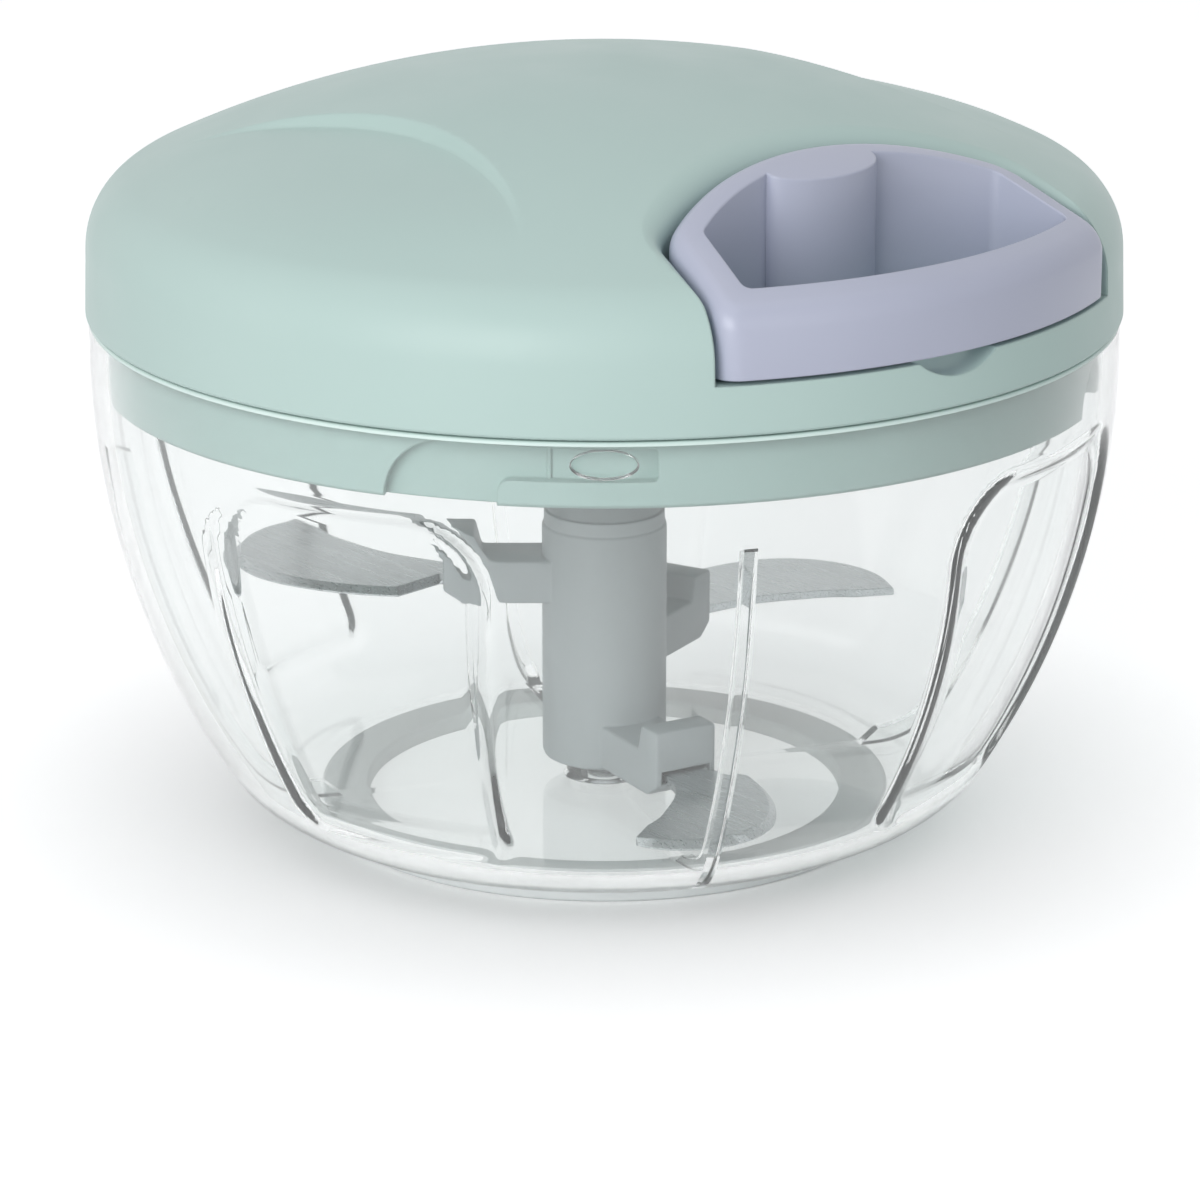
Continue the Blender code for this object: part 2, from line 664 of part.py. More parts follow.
def make_rotor():
    head_z = HUB_FOOT_Z - HEAD_DROP
    core = SHAFT_HEAD_R - FIN_DEPTH
    top = WEB_Z - SHAFT_PLAY
    groove = SHAFT_R - GROOVE_DEPTH
    waist = SHAFT_WAIST_Z - SHAFT_EDGE / 2
    column = [(0, SHAFT_FOOT), (SHAFT_R - SHAFT_EDGE, SHAFT_FOOT), (SHAFT_R, SHAFT_FOOT + SHAFT_EDGE),
              (SHAFT_R, waist - GROOVE_W), (groove, waist - GROOVE_W), (groove, waist),
              (SHAFT_HEAD_R, SHAFT_WAIST_Z), (SHAFT_HEAD_R, head_z), (core, head_z), (core, top), (0, top)]
    shaft = solid(turned(column, 40))
    fuse(shaft, around(lambda a: sector(core - FIN_SINK, SHAFT_HEAD_R, a - FIN_HALF, a + FIN_HALF,
                                        head_z - FIN_SINK, top), FINS))
    cut(shaft, rod(PIN_R + RUN, SHAFT_FOOT - PAST, PIN_TOP + 2 * GAP, 24))
    root = SHAFT_R - FIN_DEPTH
    for i, foot in enumerate(ARM_FEET):
        tab = ARM_OUT_R - ARM_TAB_T
        side = [(root, foot), (ARM_OUT_R - ARM_NOSE, foot), (ARM_OUT_R, foot + ARM_NOSE_H),
                (ARM_OUT_R, foot + ARM_H + ARM_TAB_H), (tab, foot + ARM_H + ARM_TAB_H),
                (tab - SHAFT_EDGE, foot + ARM_H), (root, foot + ARM_H)]
        angle = ARM_ANGLE + 120.0 * (i + 1)
        fuse(shaft, fin(side, angle, ARM_HALF))
        half, low, high = TANG_HALF + GAP, foot + BLADE_UP - GAP, foot + BLADE_UP + BLADE_T + GAP
        slot = [(-half, low), (half, low), (half, high), (-half, high)]
        cut(shaft, radial_prism(slot, angle, TANG_IN_R - GAP, ARM_OUT_R + PAST))
        name = "blade_" + ("lower", "middle", "upper")[i]
        finish(solid(turned_to(blade(i, foot), angle)), name, STEEL)
    return finish(shaft, "blade_shaft", GREY)


def make_lid_cover():
    cover = solid(turned(lid_section()))
    cavity = solid(turned(lid_cavity()))
    front, thick = LID_R + 5 * PAST, POCKET_GAP + POCKET_WALL
    pocket_plan = bay_outline(-POCKET_GAP, -POCKET_GAP, front, HANDLE_CORNER_R + POCKET_GAP, 0.0)
    wall_plan = bay_outline(-thick, -thick, front, HANDLE_CORNER_R + thick, 0.0)
    cut(cavity, prism(wall_plan, POCKET_SOLE, CROWN_Z + PAST))
    spots = [[SCREW_RING_R * c for c in heading(a)] for a in SCREW_ANGLES]
    posts = [rod(POST_R, PLATE_TOP + GAP, CROWN_Z, 20, p) for p in spots]
    cut(cavity, together(posts), rod(PILLAR_R, PILLAR_FOOT_Z, CROWN_Z, 28))
    cut(cover, cavity, prism(pocket_plan, POCKET_FLOOR_Z, CROWN_Z + PAST))

    dip_r = (SCALLOP_W ** 2 / 4 + SCALLOP_DEPTH ** 2) / (2 * SCALLOP_DEPTH)
    dip = rod(dip_r, 0, LID_R, 64)
    bmesh.ops.rotate(dip, verts=dip.verts, cent=(0, 0, 0), matrix=Matrix.Rotation(math.pi / 2, 3, "Y"))
    cut(cover, moved(dip, LID_R - SCALLOP_L, SCALLOP_Y, POCKET_FLOOR_Z - SCALLOP_DEPTH + dip_r))

    near_z = crown_z(SCOOP_NEAR) - SCOOP_DEPTH
    fade = LID_R - SCOOP_EDGE
    slope = (near_z - crown_z(fade)) / (fade - SCOOP_NEAR)
    side_x, side_y = LID_R + 2 * PAST, LID_R + 2 * PAST
    for side in (-1, 1):
        mid_y = SCOOP_NEAR + SCOOP_ARC_R
        span = [p for p in arc(SCOOP_SHIFT, mid_y, SCOOP_ARC_R, -128, -52, 30)]
        span_end = [(SCOOP_SHIFT + side_x, side_y), (SCOOP_SHIFT - side_x, side_y)]
        plan = [(x, side * y) for x, y in span + span_end]
        bm = prism(plan, 0.0, 1.0)
        for v in bm.verts:
            v.co.z = CROWN_Z + PAST if v.co.z > 0.5 else near_z - slope * (abs(v.co.y) - SCOOP_NEAR)
        cut(cover, bm)

    holes = [rod(SCREW_R + GAP, PLATE_Z, PLATE_Z + SCREW_L + SCREW_ROOM, 16, p) for p in spots]
    cut(cover, together(holes), rod(BORE_R, PILLAR_FOOT_Z - PAST, AXLE_TOP + 2 * GAP, 28))
    barrel = GUIDE_FLANGE_R - GUIDE_RIM
    back, end = GUIDE_BACK_X - PAST, POCKET_BACK_X + POCKET_GAP
    eye = turned([(0, back), (barrel, back), (barrel, end), (0, end)], 20, "X")
    cut(cover, moved(eye, 0, 0, GUIDE_Z))
    return finish(cover, "lid_cover", MINT)


def make_lid_base():
    bore = HUB_R + RUN
    section = [(bore, PLATE_TOP), (bore, PLATE_Z - COLLAR_H), (bore + COLLAR_T, PLATE_Z - COLLAR_H),
               (bore + COLLAR_T, PLATE_Z), (SKIRT_R - SKIRT_T, PLATE_Z), (SKIRT_R - SKIRT_T, SKIRT_FOOT_Z),
               (SKIRT_R, SKIRT_FOOT_Z), (SKIRT_R, PLATE_Z), (PLATE_R, PLATE_Z), (PLATE_R, PLATE_TOP)]
    base = solid(turned(section))
    holes = [rod(SCREW_R + GAP, PLATE_Z - PAST, PLATE_TOP + PAST, 16, [SCREW_RING_R * c for c in heading(a)])
             for a in SCREW_ANGLES]
    cut(base, together(holes))

    bed_r = BOWL_R - BOWL_WALL - LUG_REACH - GAP
    lug = math.degrees(LUG_W / 2 / bed_r)
    mid = -UNLOCK / 2

    def across(angle):
        return bed_r * math.sin(math.radians(angle - mid))

    left, right = across(-UNLOCK - lug - TRACK_SIDE), across(lug + TRACK_SIDE)
    gate = across(-UNLOCK + lug + TRACK_SIDE)
    low = SKIRT_FOOT_Z - PAST
    outline = rounded([(left, low), (gate, low), (gate, TRACK_SHELF_Z), (right, TRACK_SHELF_Z),
                       (right, TRACK_TOP_Z), (left, TRACK_TOP_Z)],
                      [0, 0, TRACK_START_R, TRACK_END_R, TRACK_END_R, TRACK_CORNER_R], 4)
    track = solid(around(lambda a: radial_prism(outline, a + mid, bed_r - PAST, SKIRT_R + PAST), LUGS,
                         LUG_ANGLE))
    cut(track, rod(bed_r, low - PAST, PLATE_TOP, STEPS))
    cut(base, track)
    return finish(base, "lid_base", MINT_BASE)


def make_screws():
    top = PLATE_Z - GAP
    section = [(0, top - HEAD_H), (HEAD_R * 0.6, top - HEAD_H), (HEAD_R * 0.9, top - HEAD_H * 0.6),
               (HEAD_R, top), (SCREW_R, top), (SCREW_R, top + SCREW_L - SCREW_TIP), (0, top + SCREW_L)]
    for i, a in enumerate(SCREW_ANGLES):
        x, y = [SCREW_RING_R * c for c in heading(a)]
        finish(solid(turned(section, 16)), "screw_%d" % (i + 1), STEEL, (x, y, 0))


def tooth_outline():
    """Ratchet teeth, upright on their clockwise side, where a pawl pushes them round anticlockwise."""
    out = []
    step = 360.0 / TEETH
    for i in range(TEETH):
        for part in (0.0, 0.5, 0.98):
            r = RATCHET_R - RATCHET_DEPTH * part / 0.98
            c, s = heading((i + part) * step)
            out.append((r * c, r * s))
    return out


def make_hub():
    sunk = HUB_FLANGE_Z + FIN_SINK / 2
    socket = [(0, sunk), (HUB_R, sunk), (HUB_R, HUB_FOOT_Z + HUB_CHAMFER),
              (HUB_R - HUB_CHAMFER, HUB_FOOT_Z), (SOCKET_R, HUB_FOOT_Z), (SOCKET_R, WEB_Z), (0, WEB_Z)][::-1]
    hub = solid(turned(socket, 40))
    fuse(hub, prism(tooth_outline(), HUB_FLANGE_Z, HUB_TOP))
    core = SHAFT_HEAD_R - FIN_DEPTH + GAP
    lag = 2 * FIN_HALF + DRIVE_SLACK
    fuse(hub, around(lambda a: sector(core, SOCKET_R + FIN_SINK, a - FIN_HALF, a + FIN_HALF,
                                      HUB_FOOT_Z + FIN_SINK, WEB_Z + FIN_SINK / 2), FINS, -lag))
    cut(hub, rod(BORE_R, AXLE_FOOT - GAP, HUB_TOP + PAST, 28))
    return finish(hub, "drive_hub", WHITE)


def make_reel():
    section = [(BORE_R, DRUM_Z), (BORE_R, REEL_Z), (REEL_R, REEL_Z), (REEL_R, DRUM_Z), (DRUM_R, DRUM_Z),
               (DRUM_R, DRUM_TOP), (DRUM_R - DRUM_T, DRUM_TOP), (DRUM_R - DRUM_T, DRUM_Z)]
    reel = solid(turned(section, 48))
    pins = together([rod(PAWL_PIN_R, REEL_Z - GAP - PAWL_H, REEL_Z + REEL_FLOOR_T / 2, 16,
                         [PAWL_RING_R * c for c in heading(a - PAWL_LAG)]) for a in (0.0, 180.0)])
    fuse(reel, pins)
    finish(reel, "reel", WHITE)
    inner = PILLAR_R + CAP_PLAY
    cap = turned([(inner, CAP_Z + CAP_T), (inner, CAP_Z), (REEL_R, CAP_Z), (REEL_R, CAP_Z + CAP_T)], 48)
    finish(solid(cap), "reel_cap", WHITE)
    slim = AXLE_R - AXLE_EDGE
    axle = turned([(0, AXLE_FOOT), (slim, AXLE_FOOT), (AXLE_R, AXLE_FOOT + AXLE_EDGE),
                   (AXLE_R, AXLE_TOP - AXLE_EDGE), (slim, AXLE_TOP), (0, AXLE_TOP)], 28)
    finish(solid(axle), "reel_axle", STEEL)


def make_pawls():
    """Two pawls; each tip stands in a tooth and pushes it when the reel unwinds."""
    step = 360.0 / TEETH
    root = RATCHET_R - RATCHET_DEPTH
    for n, a in enumerate((0.0, 180.0)):
        px, py = [PAWL_RING_R * c for c in heading(a - PAWL_LAG)]
        lead = math.degrees(PAWL_LEAD / root)
        tip_r = RATCHET_R - RATCHET_DEPTH * (1 - lead / step) + GAP
        ix, iy = [tip_r * c for c in heading(a - lead)]
        ox, oy = [(tip_r + PAWL_TIP_W) * c for c in heading(a - lead)]
        swing = math.degrees(math.atan2(iy - py, ix - px))
        reach = math.hypot(ix - px, iy - py)
        lean = math.degrees(math.acos(PAWL_EYE_R / reach))
        far = math.degrees(math.atan2(oy - py, ox - px))
        far_lean = math.degrees(math.acos(PAWL_EYE_R / math.hypot(ox - px, oy - py)))
        eye = arc(0, 0, PAWL_EYE_R, swing + lean, far - far_lean + 360.0, 14)
        outline = [(ix - px, iy - py)] + eye + [(ox - px, oy - py)]
        pawl = solid(prism(outline, REEL_Z - GAP - PAWL_H, REEL_Z - GAP))
        cut(pawl, rod(PAWL_PIN_R + RUN, REEL_Z - 2 * PAWL_H - PAST, REEL_Z + PAST, 16))
        finish(pawl, "pawl_%d" % (n + 1), STEEL, (px, py, 0))


def make_spring():
    """Clock spring from the pillar out to the drum, as one wound strip."""
    r0, r1 = PILLAR_R + GAP + SPRING_T, DRUM_R - DRUM_T - GAP - SPRING_T
    z0 = (DRUM_Z + DRUM_TOP - SPRING_H) / 2
    steps = SPRING_TURNS * 18
    bm = bmesh.new()
    rings = []
    for i in range(steps + 1):
        r = r0 + (r1 - r0) * i / steps
        c, s = heading(i * 20.0)
        strip = ((r, z0), (r + SPRING_T, z0), (r + SPRING_T, z0 + SPRING_H), (r, z0 + SPRING_H))
        rings.append([bm.verts.new((q * c, q * s, z)) for q, z in strip])
    for a, b in zip(rings, rings[1:]):
        for i in range(4):
            bm.faces.new((a[i], a[(i + 1) % 4], b[(i + 1) % 4], b[i]))
    bm.faces.new(rings[0])
    bm.faces.new(rings[-1])
    bmesh.ops.recalc_face_normals(bm, faces=bm.faces)
    finish(solid(bm), "mainspring", SPRING)
    print("mainspring least gap", round((r1 - r0) / SPRING_TURNS - SPRING_T, 3), "mm")


def tube(name, points, r, look, res=1):
    """A cord along points, with filled ends."""
    curve = bpy.data.curves.new(name, "CURVE")
    curve.dimensions = "3D"
    curve.bevel_depth = r
    curve.bevel_resolution = res
    curve.use_fill_caps = True
    line = curve.splines.new("POLY")
    line.points.add(len(points) - 1)
    for p, co in zip(line.points, points):
        p.co = (*co, 1)
    path = bpy.data.objects.new(name + "_path", curve)
    bpy.context.scene.collection.objects.link(path)
    bpy.context.view_layer.update()
    graph = bpy.context.evaluated_depsgraph_get()
    mesh = bpy.data.meshes.new_from_object(path.evaluated_get(graph))
    bpy.data.objects.remove(path)
    bpy.data.curves.remove(curve)
    bm = bmesh.new()
    bm.from_mesh(mesh)
    bpy.data.meshes.remove(mesh)
    clean(bm)
    return finish(solid(bm), name, look)


def make_cord():
    """The cord: wound on the drum, led through the eyelet and knotted in the handle."""
    guide_x = GUIDE_BACK_X
    leave = -math.degrees(math.acos(CORD_PATH_R / guide_x))
    top_z = DRUM_Z + GAP + CORD_R + CORD_TURNS * CORD_PITCH
    steps = int(CORD_TURNS * 24)
    coil = []
    for i in range(steps + 1):
        t = i / steps * CORD_TURNS
        c, s = heading(leave - 360.0 * t)
        coil.append((CORD_PATH_R * c, CORD_PATH_R * s, top_z - CORD_PITCH * t))
    tube("cord_coil", coil, CORD_R, CORD)
    print("cord coil least gap", round(CORD_PITCH - 2 * CORD_R, 3), "mm")

    c, s = heading(leave)
    sx, sy = CORD_PATH_R * c, CORD_PATH_R * s
    start = (sx - s * 0.4, sy + c * 0.4, top_z)
    reach = math.hypot(guide_x - sx, sy)
    mid = [(sx - s * reach * t, sy + c * reach * t, top_z + (GUIDE_Z - top_z) * t * t * (3 - 2 * t))
           for t in (0.25, 0.5, 0.72, 0.86)]
    lead = [start] + mid + [(guide_x - 0.2, -0.12, GUIDE_Z), (guide_x + 0.8, 0, GUIDE_Z),
                            (POCKET_BACK_X + 0.1, 0, GUIDE_Z)]
    tube("cord_lead", lead, CORD_R, CORD)
    tube("cord_pull", [(POCKET_BACK_X + 0.1 + GAP, 0, GUIDE_Z), (HANDLE_BACK_X + 0.4, 0, GUIDE_Z),
                       (KNOT_X - KNOT_R - 0.1, 0, GUIDE_Z)], CORD_R, CORD)
    ball = [(KNOT_R * math.sin(a), KNOT_R * math.cos(a)) for a in [math.pi * i / 8 for i in range(9)]]
    knot = turned(ball, 14, "X")
    finish(solid(moved(knot, KNOT_X + 0.2, 0, GUIDE_Z)), "cord_knot", CORD)

    hole = CORD_R + CORD_PLAY
    barrel = GUIDE_FLANGE_R - GUIDE_RIM - GAP
    eyelet = [(hole + 0.7, guide_x - GAP - GUIDE_T), (GUIDE_FLANGE_R, guide_x - GAP - GUIDE_T),
              (GUIDE_FLANGE_R, guide_x - GAP), (barrel, guide_x - GAP), (barrel, POCKET_BACK_X - 0.1),
              (hole + 0.3, POCKET_BACK_X - 0.1), (hole, POCKET_BACK_X - 0.5), (hole, guide_x)]
    finish(solid(moved(turned(eyelet, 20, "X"), 0, 0, GUIDE_Z)), "cord_guide", STEEL)


def make_handle():
    plan = bay_outline(0.0, 0.0, LID_R, HANDLE_CORNER_R, HANDLE_NOSE_R)
    body = solid(prism(plan, HANDLE_FOOT_Z, CROWN_Z + PAST))
    inner_r = LID_R - HANDLE_FRONT_T
    start, end = inner_r - HANDLE_TOP_IN, HANDLE_BACK_X - PAST
    top = crown_z(start, HANDLE_DROP)
    nose = rounded([(LID_R, HANDLE_FOOT_Z), (LID_R, top - HANDLE_DROP), (inner_r, top - HANDLE_DROP / 4)],
                   [0, min(HANDLE_EDGE_R, HANDLE_FRONT_T - GAP), 0], 5)
    crown = [(r, crown_z(r, HANDLE_DROP)) for r in [start + (end - start) * i / 5 for i in range(6)] + [0]]
    keep(body, turned([(0, HANDLE_FOOT_Z - PAST), (LID_R, HANDLE_FOOT_Z - PAST)] + nose[1:] + crown, 96))
    hole_plan = bay_outline(HANDLE_BACK_T, HANDLE_SIDE_T, inner_r, GRIP_R, GRIP_R)
    hole = solid(prism(hole_plan, HANDLE_FOOT_Z - PAST, CROWN_Z + PAST))
    boss = rounded([(HANDLE_BACK_X, -CORD_BOSS_HALF), (CORD_BOSS_X, -CORD_BOSS_HALF),
                    (CORD_BOSS_X, CORD_BOSS_HALF), (HANDLE_BACK_X, CORD_BOSS_HALF)],
                   [0, CORD_BOSS_R, CORD_BOSS_R, 0], 4)
    cut(hole, prism(boss, HANDLE_FOOT_Z - 2 * PAST, CROWN_Z + 2 * PAST))
    cut(body, hole)
    nest = KNOT_R + KNOT_PLAY
    cut(body, rod(nest, HANDLE_FOOT_Z - PAST, GUIDE_Z + nest, 24, (KNOT_X + RUN, 0)))
    bore = CORD_R + CORD_PLAY
    back = HANDLE_BACK_X - PAST
    eye = turned([(0, back), (bore, back), (bore, KNOT_X), (0, KNOT_X)], 16, "X")
    cut(body, moved(eye, 0, 0, GUIDE_Z))
    return finish(body, "handle", LAVENDER)


def main():
    for old in list(bpy.data.objects):
        bpy.data.objects.remove(old)
    make_bowl()
    make_bowl_fittings()
    make_rotor()
    make_lid_cover()
    make_lid_base()
    make_screws()
    make_hub()
    make_reel()
    make_pawls()
    make_spring()
    make_cord()
    make_handle()


main()
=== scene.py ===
import math

import bmesh
import bpy
from mathutils import Matrix, Vector


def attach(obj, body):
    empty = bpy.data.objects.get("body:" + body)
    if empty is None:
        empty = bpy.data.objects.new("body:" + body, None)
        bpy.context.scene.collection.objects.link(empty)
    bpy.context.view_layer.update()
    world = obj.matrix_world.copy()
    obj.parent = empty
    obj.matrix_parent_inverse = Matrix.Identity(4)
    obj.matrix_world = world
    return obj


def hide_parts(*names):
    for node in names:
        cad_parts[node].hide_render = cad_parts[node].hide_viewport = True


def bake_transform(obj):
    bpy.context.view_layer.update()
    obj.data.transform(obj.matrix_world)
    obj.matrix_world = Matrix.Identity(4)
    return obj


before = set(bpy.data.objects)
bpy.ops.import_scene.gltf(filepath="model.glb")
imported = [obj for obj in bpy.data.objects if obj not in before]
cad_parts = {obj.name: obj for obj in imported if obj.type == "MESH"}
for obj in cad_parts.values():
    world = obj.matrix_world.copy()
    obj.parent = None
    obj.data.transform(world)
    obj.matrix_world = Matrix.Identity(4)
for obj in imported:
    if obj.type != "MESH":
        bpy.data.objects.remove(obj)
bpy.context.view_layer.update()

# Sizes in millimetres and angles in degrees
BOWL_R, BOWL_WALL, RIM_Z, BAND_Z = 62.4, 2.0, 64.45, 60.0
SIDE_ARC_R, CORNER_R, FLOOR_Z = 96.6, 13.8, 2.5
PANEL_ANGLES = [-71.3 + 90 * i for i in range(4)]
PANEL_TOP, PANEL_LOW, PANEL_HALF, PANEL_LOW_HALF = 54.5, 9.5, 19.8, 14.0
PANEL_CORNER_R, PANEL_LOW_CORNER_R, PANEL_PRESS, PANEL_EDGE = 10.5, 3.0, 1.15, 2.0
RIB_ANGLES = [-25.3 + 90 * i for i in range(4)]
LUG_ANGLES = [-41 + 90 * i for i in range(4)]
LUG_HALF, LUG_Z = 3.85, 61.4
# Height above which the rotor column is painted a darker grey: painted shade under the lid
SHADED_NECK_Z = 38.55
# Each arm of the rotor: its blade, its direction, its foot's height and the blade's reach
ARMS = (("lower", -11, 7.3, 42.6), ("middle", 109, 17.35, 47.4), ("upper", -131, 27.4, 48.0))
LID_R, LID_EDGE_Z, SHOULDER_R = 62.5, 64.75, 9.5
CROWN_R, CROWN_Z, CROWN_WALL, LID_WALL = 132.1, 94.2, 3.2, 2.5
CROWN_MID = CROWN_Z - CROWN_R
POCKET_FLOOR_Z, POCKET_GAP = 70.5, 0.8
BAY_BACK_X, BAY_ARCH_R, BAY_CORNER_ANGLE, BAY_LEAN = 33.7, 52.0, 29.0, 14.0
HANDLE_FOOT_Z, HANDLE_DROP = 71.0, -0.1
BOSS_X, BOSS_OUT, BOSS_Y, BOSS_HALF = 38.0, 3.8, -0.3, 8.3
NOTCH_R, NOTCH_Y, NOTCH_DEPTH = 9.5, -1.3, 2.1
SCOOP_R, SCOOP_Y, SCOOP_DEPTH, SCOOP_STEP = 56.3, 85.05, 1.6, 1.2
SCREW_R = 46.5
SCREW_SPOTS = [(SCREW_R * math.cos(math.radians(a)), SCREW_R * math.sin(math.radians(a)))
               for a in (62, 140, -140, -62)]
TRACK_R, TURN = 58.5, 17.5
GUIDE_Z, CORD_R = 80.0, 0.9
PHOTO_AZIMUTH, PHOTO_TILT = 49, 17.63


# Shapes
def arc(cx, cy, r, a0, a1, n):
    """Points along a circle from one angle to another, in n steps."""
    return [(cx + r * math.cos(math.radians(a0 + (a1 - a0) * i / n)),
             cy + r * math.sin(math.radians(a0 + (a1 - a0) * i / n))) for i in range(n + 1)]


def rounded(points, radii, n=8):
    """An outline with each corner rounded by its own radius."""
    out = []
    for i, (x, y) in enumerate(points):
        r = radii[i]
        if r <= 0:
            out.append((x, y))
            continue
        a = Vector((points[i - 1][0] - x, points[i - 1][1] - y)).normalized()
        b = Vector((points[(i + 1) % len(points)][0] - x, points[(i + 1) % len(points)][1] - y)).normalized()
        half = a.angle(b) / 2
        mid = Vector((x, y)) + (a + b).normalized() * (r / math.sin(half))
        t = r / math.tan(half)
        p, q = Vector((x, y)) + a * t - mid, Vector((x, y)) + b * t - mid
        a0, a1 = math.degrees(math.atan2(p.y, p.x)), math.degrees(math.atan2(q.y, q.x))
        a1 += 360 if a1 - a0 < -180 else -360 if a1 - a0 > 180 else 0
        out += arc(mid.x, mid.y, r, a0, a1, n)
    return out


def spun(profile, steps=192):
    """A profile of (radius, height) turned round the upright axis."""
    bm = bmesh.new()
    verts = [bm.verts.new((r, 0, z)) for r, z in profile]
    pairs = list(zip(verts, verts[1:]))
    if profile[0][0] > 1e-6 or profile[-1][0] > 1e-6:
        pairs.append((verts[-1], verts[0]))
    edges = [bm.edges.new(p) for p in pairs]
    bmesh.ops.spin(bm, geom=verts + edges, cent=(0, 0, 0), axis=(0, 0, 1), dvec=(0, 0, 0), angle=math.tau,
                   steps=steps, use_merge=True, use_duplicate=False)
    return tidied(bm)


def tidied(bm):
    bmesh.ops.remove_doubles(bm, verts=bm.verts, dist=1e-4)
    bmesh.ops.recalc_face_normals(bm, faces=bm.faces)
    return bm


def lifted(points, vec):
    """A flat outline of points, extruded along vec."""
    bm = bmesh.new()
    face = bm.faces.new([bm.verts.new(p) for p in points])
    grown = bmesh.ops.extrude_face_region(bm, geom=[face])["geom"]
    bmesh.ops.translate(bm, verts=[v for v in grown if isinstance(v, bmesh.types.BMVert)], vec=vec)
    return tidied(bm)


def upright(outline, z0, z1):
    """A plan of (x, y) between two heights."""
    return lifted([(x, y, z0) for x, y in outline], (0, 0, z1 - z0))


def outward(outline, angle, r0, r1):
    """An outline of (sideways, height) between two radii, turned to its angle."""
    bm = lifted([(r0, u, z) for u, z in outline], (r1 - r0, 0, 0))
    return turned(bm, angle)


def standing(outline, angle, half):
    """A radial plate with the section (radius, height), as thick as twice half."""
    bm = lifted([(r, -half, z) for r, z in outline], (0, 2 * half, 0))
    return turned(bm, angle)


def turned(bm, angle, axis="Z"):
    bmesh.ops.rotate(bm, verts=bm.verts, cent=(0, 0, 0), matrix=Matrix.Rotation(math.radians(angle), 3, axis))
    return bm


def shifted(bm, x, y, z):
    bmesh.ops.translate(bm, verts=bm.verts, vec=(x, y, z))
    return bm


def rod(r, z0, z1, steps=48, at=(0, 0)):
    return shifted(spun([(0, z0), (r, z0), (r, z1), (0, z1)], steps), at[0], at[1], 0)


def together(shapes):
    out = bmesh.new()
    for bm in shapes:
        mesh = bpy.data.meshes.new("step")
        bm.to_mesh(mesh)
        bm.free()
        out.from_mesh(mesh)
        bpy.data.meshes.remove(mesh)
    return out


def body_from(bm, name="step"):
    mesh = bpy.data.meshes.new(name)
    bm.to_mesh(mesh)
    bm.free()
    obj = bpy.data.objects.new(name, mesh)
    bpy.context.scene.collection.objects.link(obj)
    return obj


def baked(obj):
    """The object's mesh with its modifiers applied."""
    bpy.context.view_layer.update()
    graph = bpy.context.evaluated_depsgraph_get()
    mesh = bpy.data.meshes.new_from_object(obj.evaluated_get(graph))
    obj.modifiers.clear()
    old, obj.data = obj.data, mesh
    bpy.data.meshes.remove(old)
    return obj


def joined_with(obj, tool, how):
    tool = tool if isinstance(tool, bpy.types.Object) else body_from(tool)
    mod = obj.modifiers.new("cut", "BOOLEAN")
    mod.operation, mod.solver, mod.object = how, "EXACT", tool
    baked(obj)
    mesh = tool.data
    bpy.data.objects.remove(tool)
    bpy.data.meshes.remove(mesh)
    return obj


def cut(obj, *tools):
    for tool in tools:
        joined_with(obj, tool, "DIFFERENCE")
    return obj


def fuse(obj, *tools):
    for tool in tools:
        joined_with(obj, tool, "UNION")
    return obj


def finished(obj, name, body, look, nodes=(), sharp=32.0, in_mm=True):
    """Names a piece, brings it to metres, shades it, gives it its finish and hangs it on its body."""
    if isinstance(obj, bmesh.types.BMesh):
        obj = body_from(obj)
    obj.name = obj.data.name = name
    if in_mm:
        obj.data.transform(Matrix.Scale(0.001, 4))
    obj.data.shade_smooth()
    obj.data.set_sharp_from_angle(angle=math.radians(sharp))
    obj.data.materials.clear()
    obj.data.materials.append(look)
    if nodes:
        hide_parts(*nodes)
    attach(obj, body)
    return obj


def even_normals(obj):
    """Shading that follows the large faces, so that a clear or glossy wall shows no false bends."""
    even = obj.modifiers.new("even_normals", "WEIGHTED_NORMAL")
    even.mode, even.keep_sharp = "FACE_AREA", True


def smooth_copy(node, body, look, sharp):
    """A solid's own shape, merged and shaded smooth."""
    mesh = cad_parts[node].data.copy()
    bm = bmesh.new()
    bm.from_mesh(mesh)
    bmesh.ops.remove_doubles(bm, verts=bm.verts, dist=2e-6)
    bmesh.ops.dissolve_limit(bm, angle_limit=math.radians(1.0), verts=bm.verts, edges=bm.edges)
    obj = body_from(bm)
    bpy.data.meshes.remove(mesh)
    return finished(obj, node + "_piece", body, look, (node,), sharp, in_mm=False)


def smoothstep(t):
    t = max(0.0, min(1.0, t))
    return t * t * (3 - 2 * t)


# Finishes
def finish_named(name):
    mat = bpy.data.materials.new(name)
    mat.use_nodes = True
    return mat, mat.node_tree, mat.node_tree.nodes["Principled BSDF"]


def noise(tree, scale, detail=2.0, stretch=None):
    coords = tree.nodes.new("ShaderNodeTexCoord")
    grain = tree.nodes.new("ShaderNodeTexNoise")
    grain.inputs["Scale"].default_value = scale
    grain.inputs["Detail"].default_value = detail
    if stretch:
        mapping = tree.nodes.new("ShaderNodeMapping")
        mapping.inputs["Scale"].default_value = stretch
        tree.links.new(coords.outputs["Object"], mapping.inputs["Vector"])
        tree.links.new(mapping.outputs["Vector"], grain.inputs["Vector"])
    else:
        tree.links.new(coords.outputs["Object"], grain.inputs["Vector"])
    return grain.outputs["Fac"]


def ranged(tree, fac, low, high, lo_in=0.3, hi_in=0.7):
    node = tree.nodes.new("ShaderNodeMapRange")
    node.inputs["From Min"].default_value = lo_in
    node.inputs["From Max"].default_value = hi_in
    node.inputs["To Min"].default_value = low
    node.inputs["To Max"].default_value = high
    tree.links.new(fac, node.inputs["Value"])
    return node.outputs["Result"]


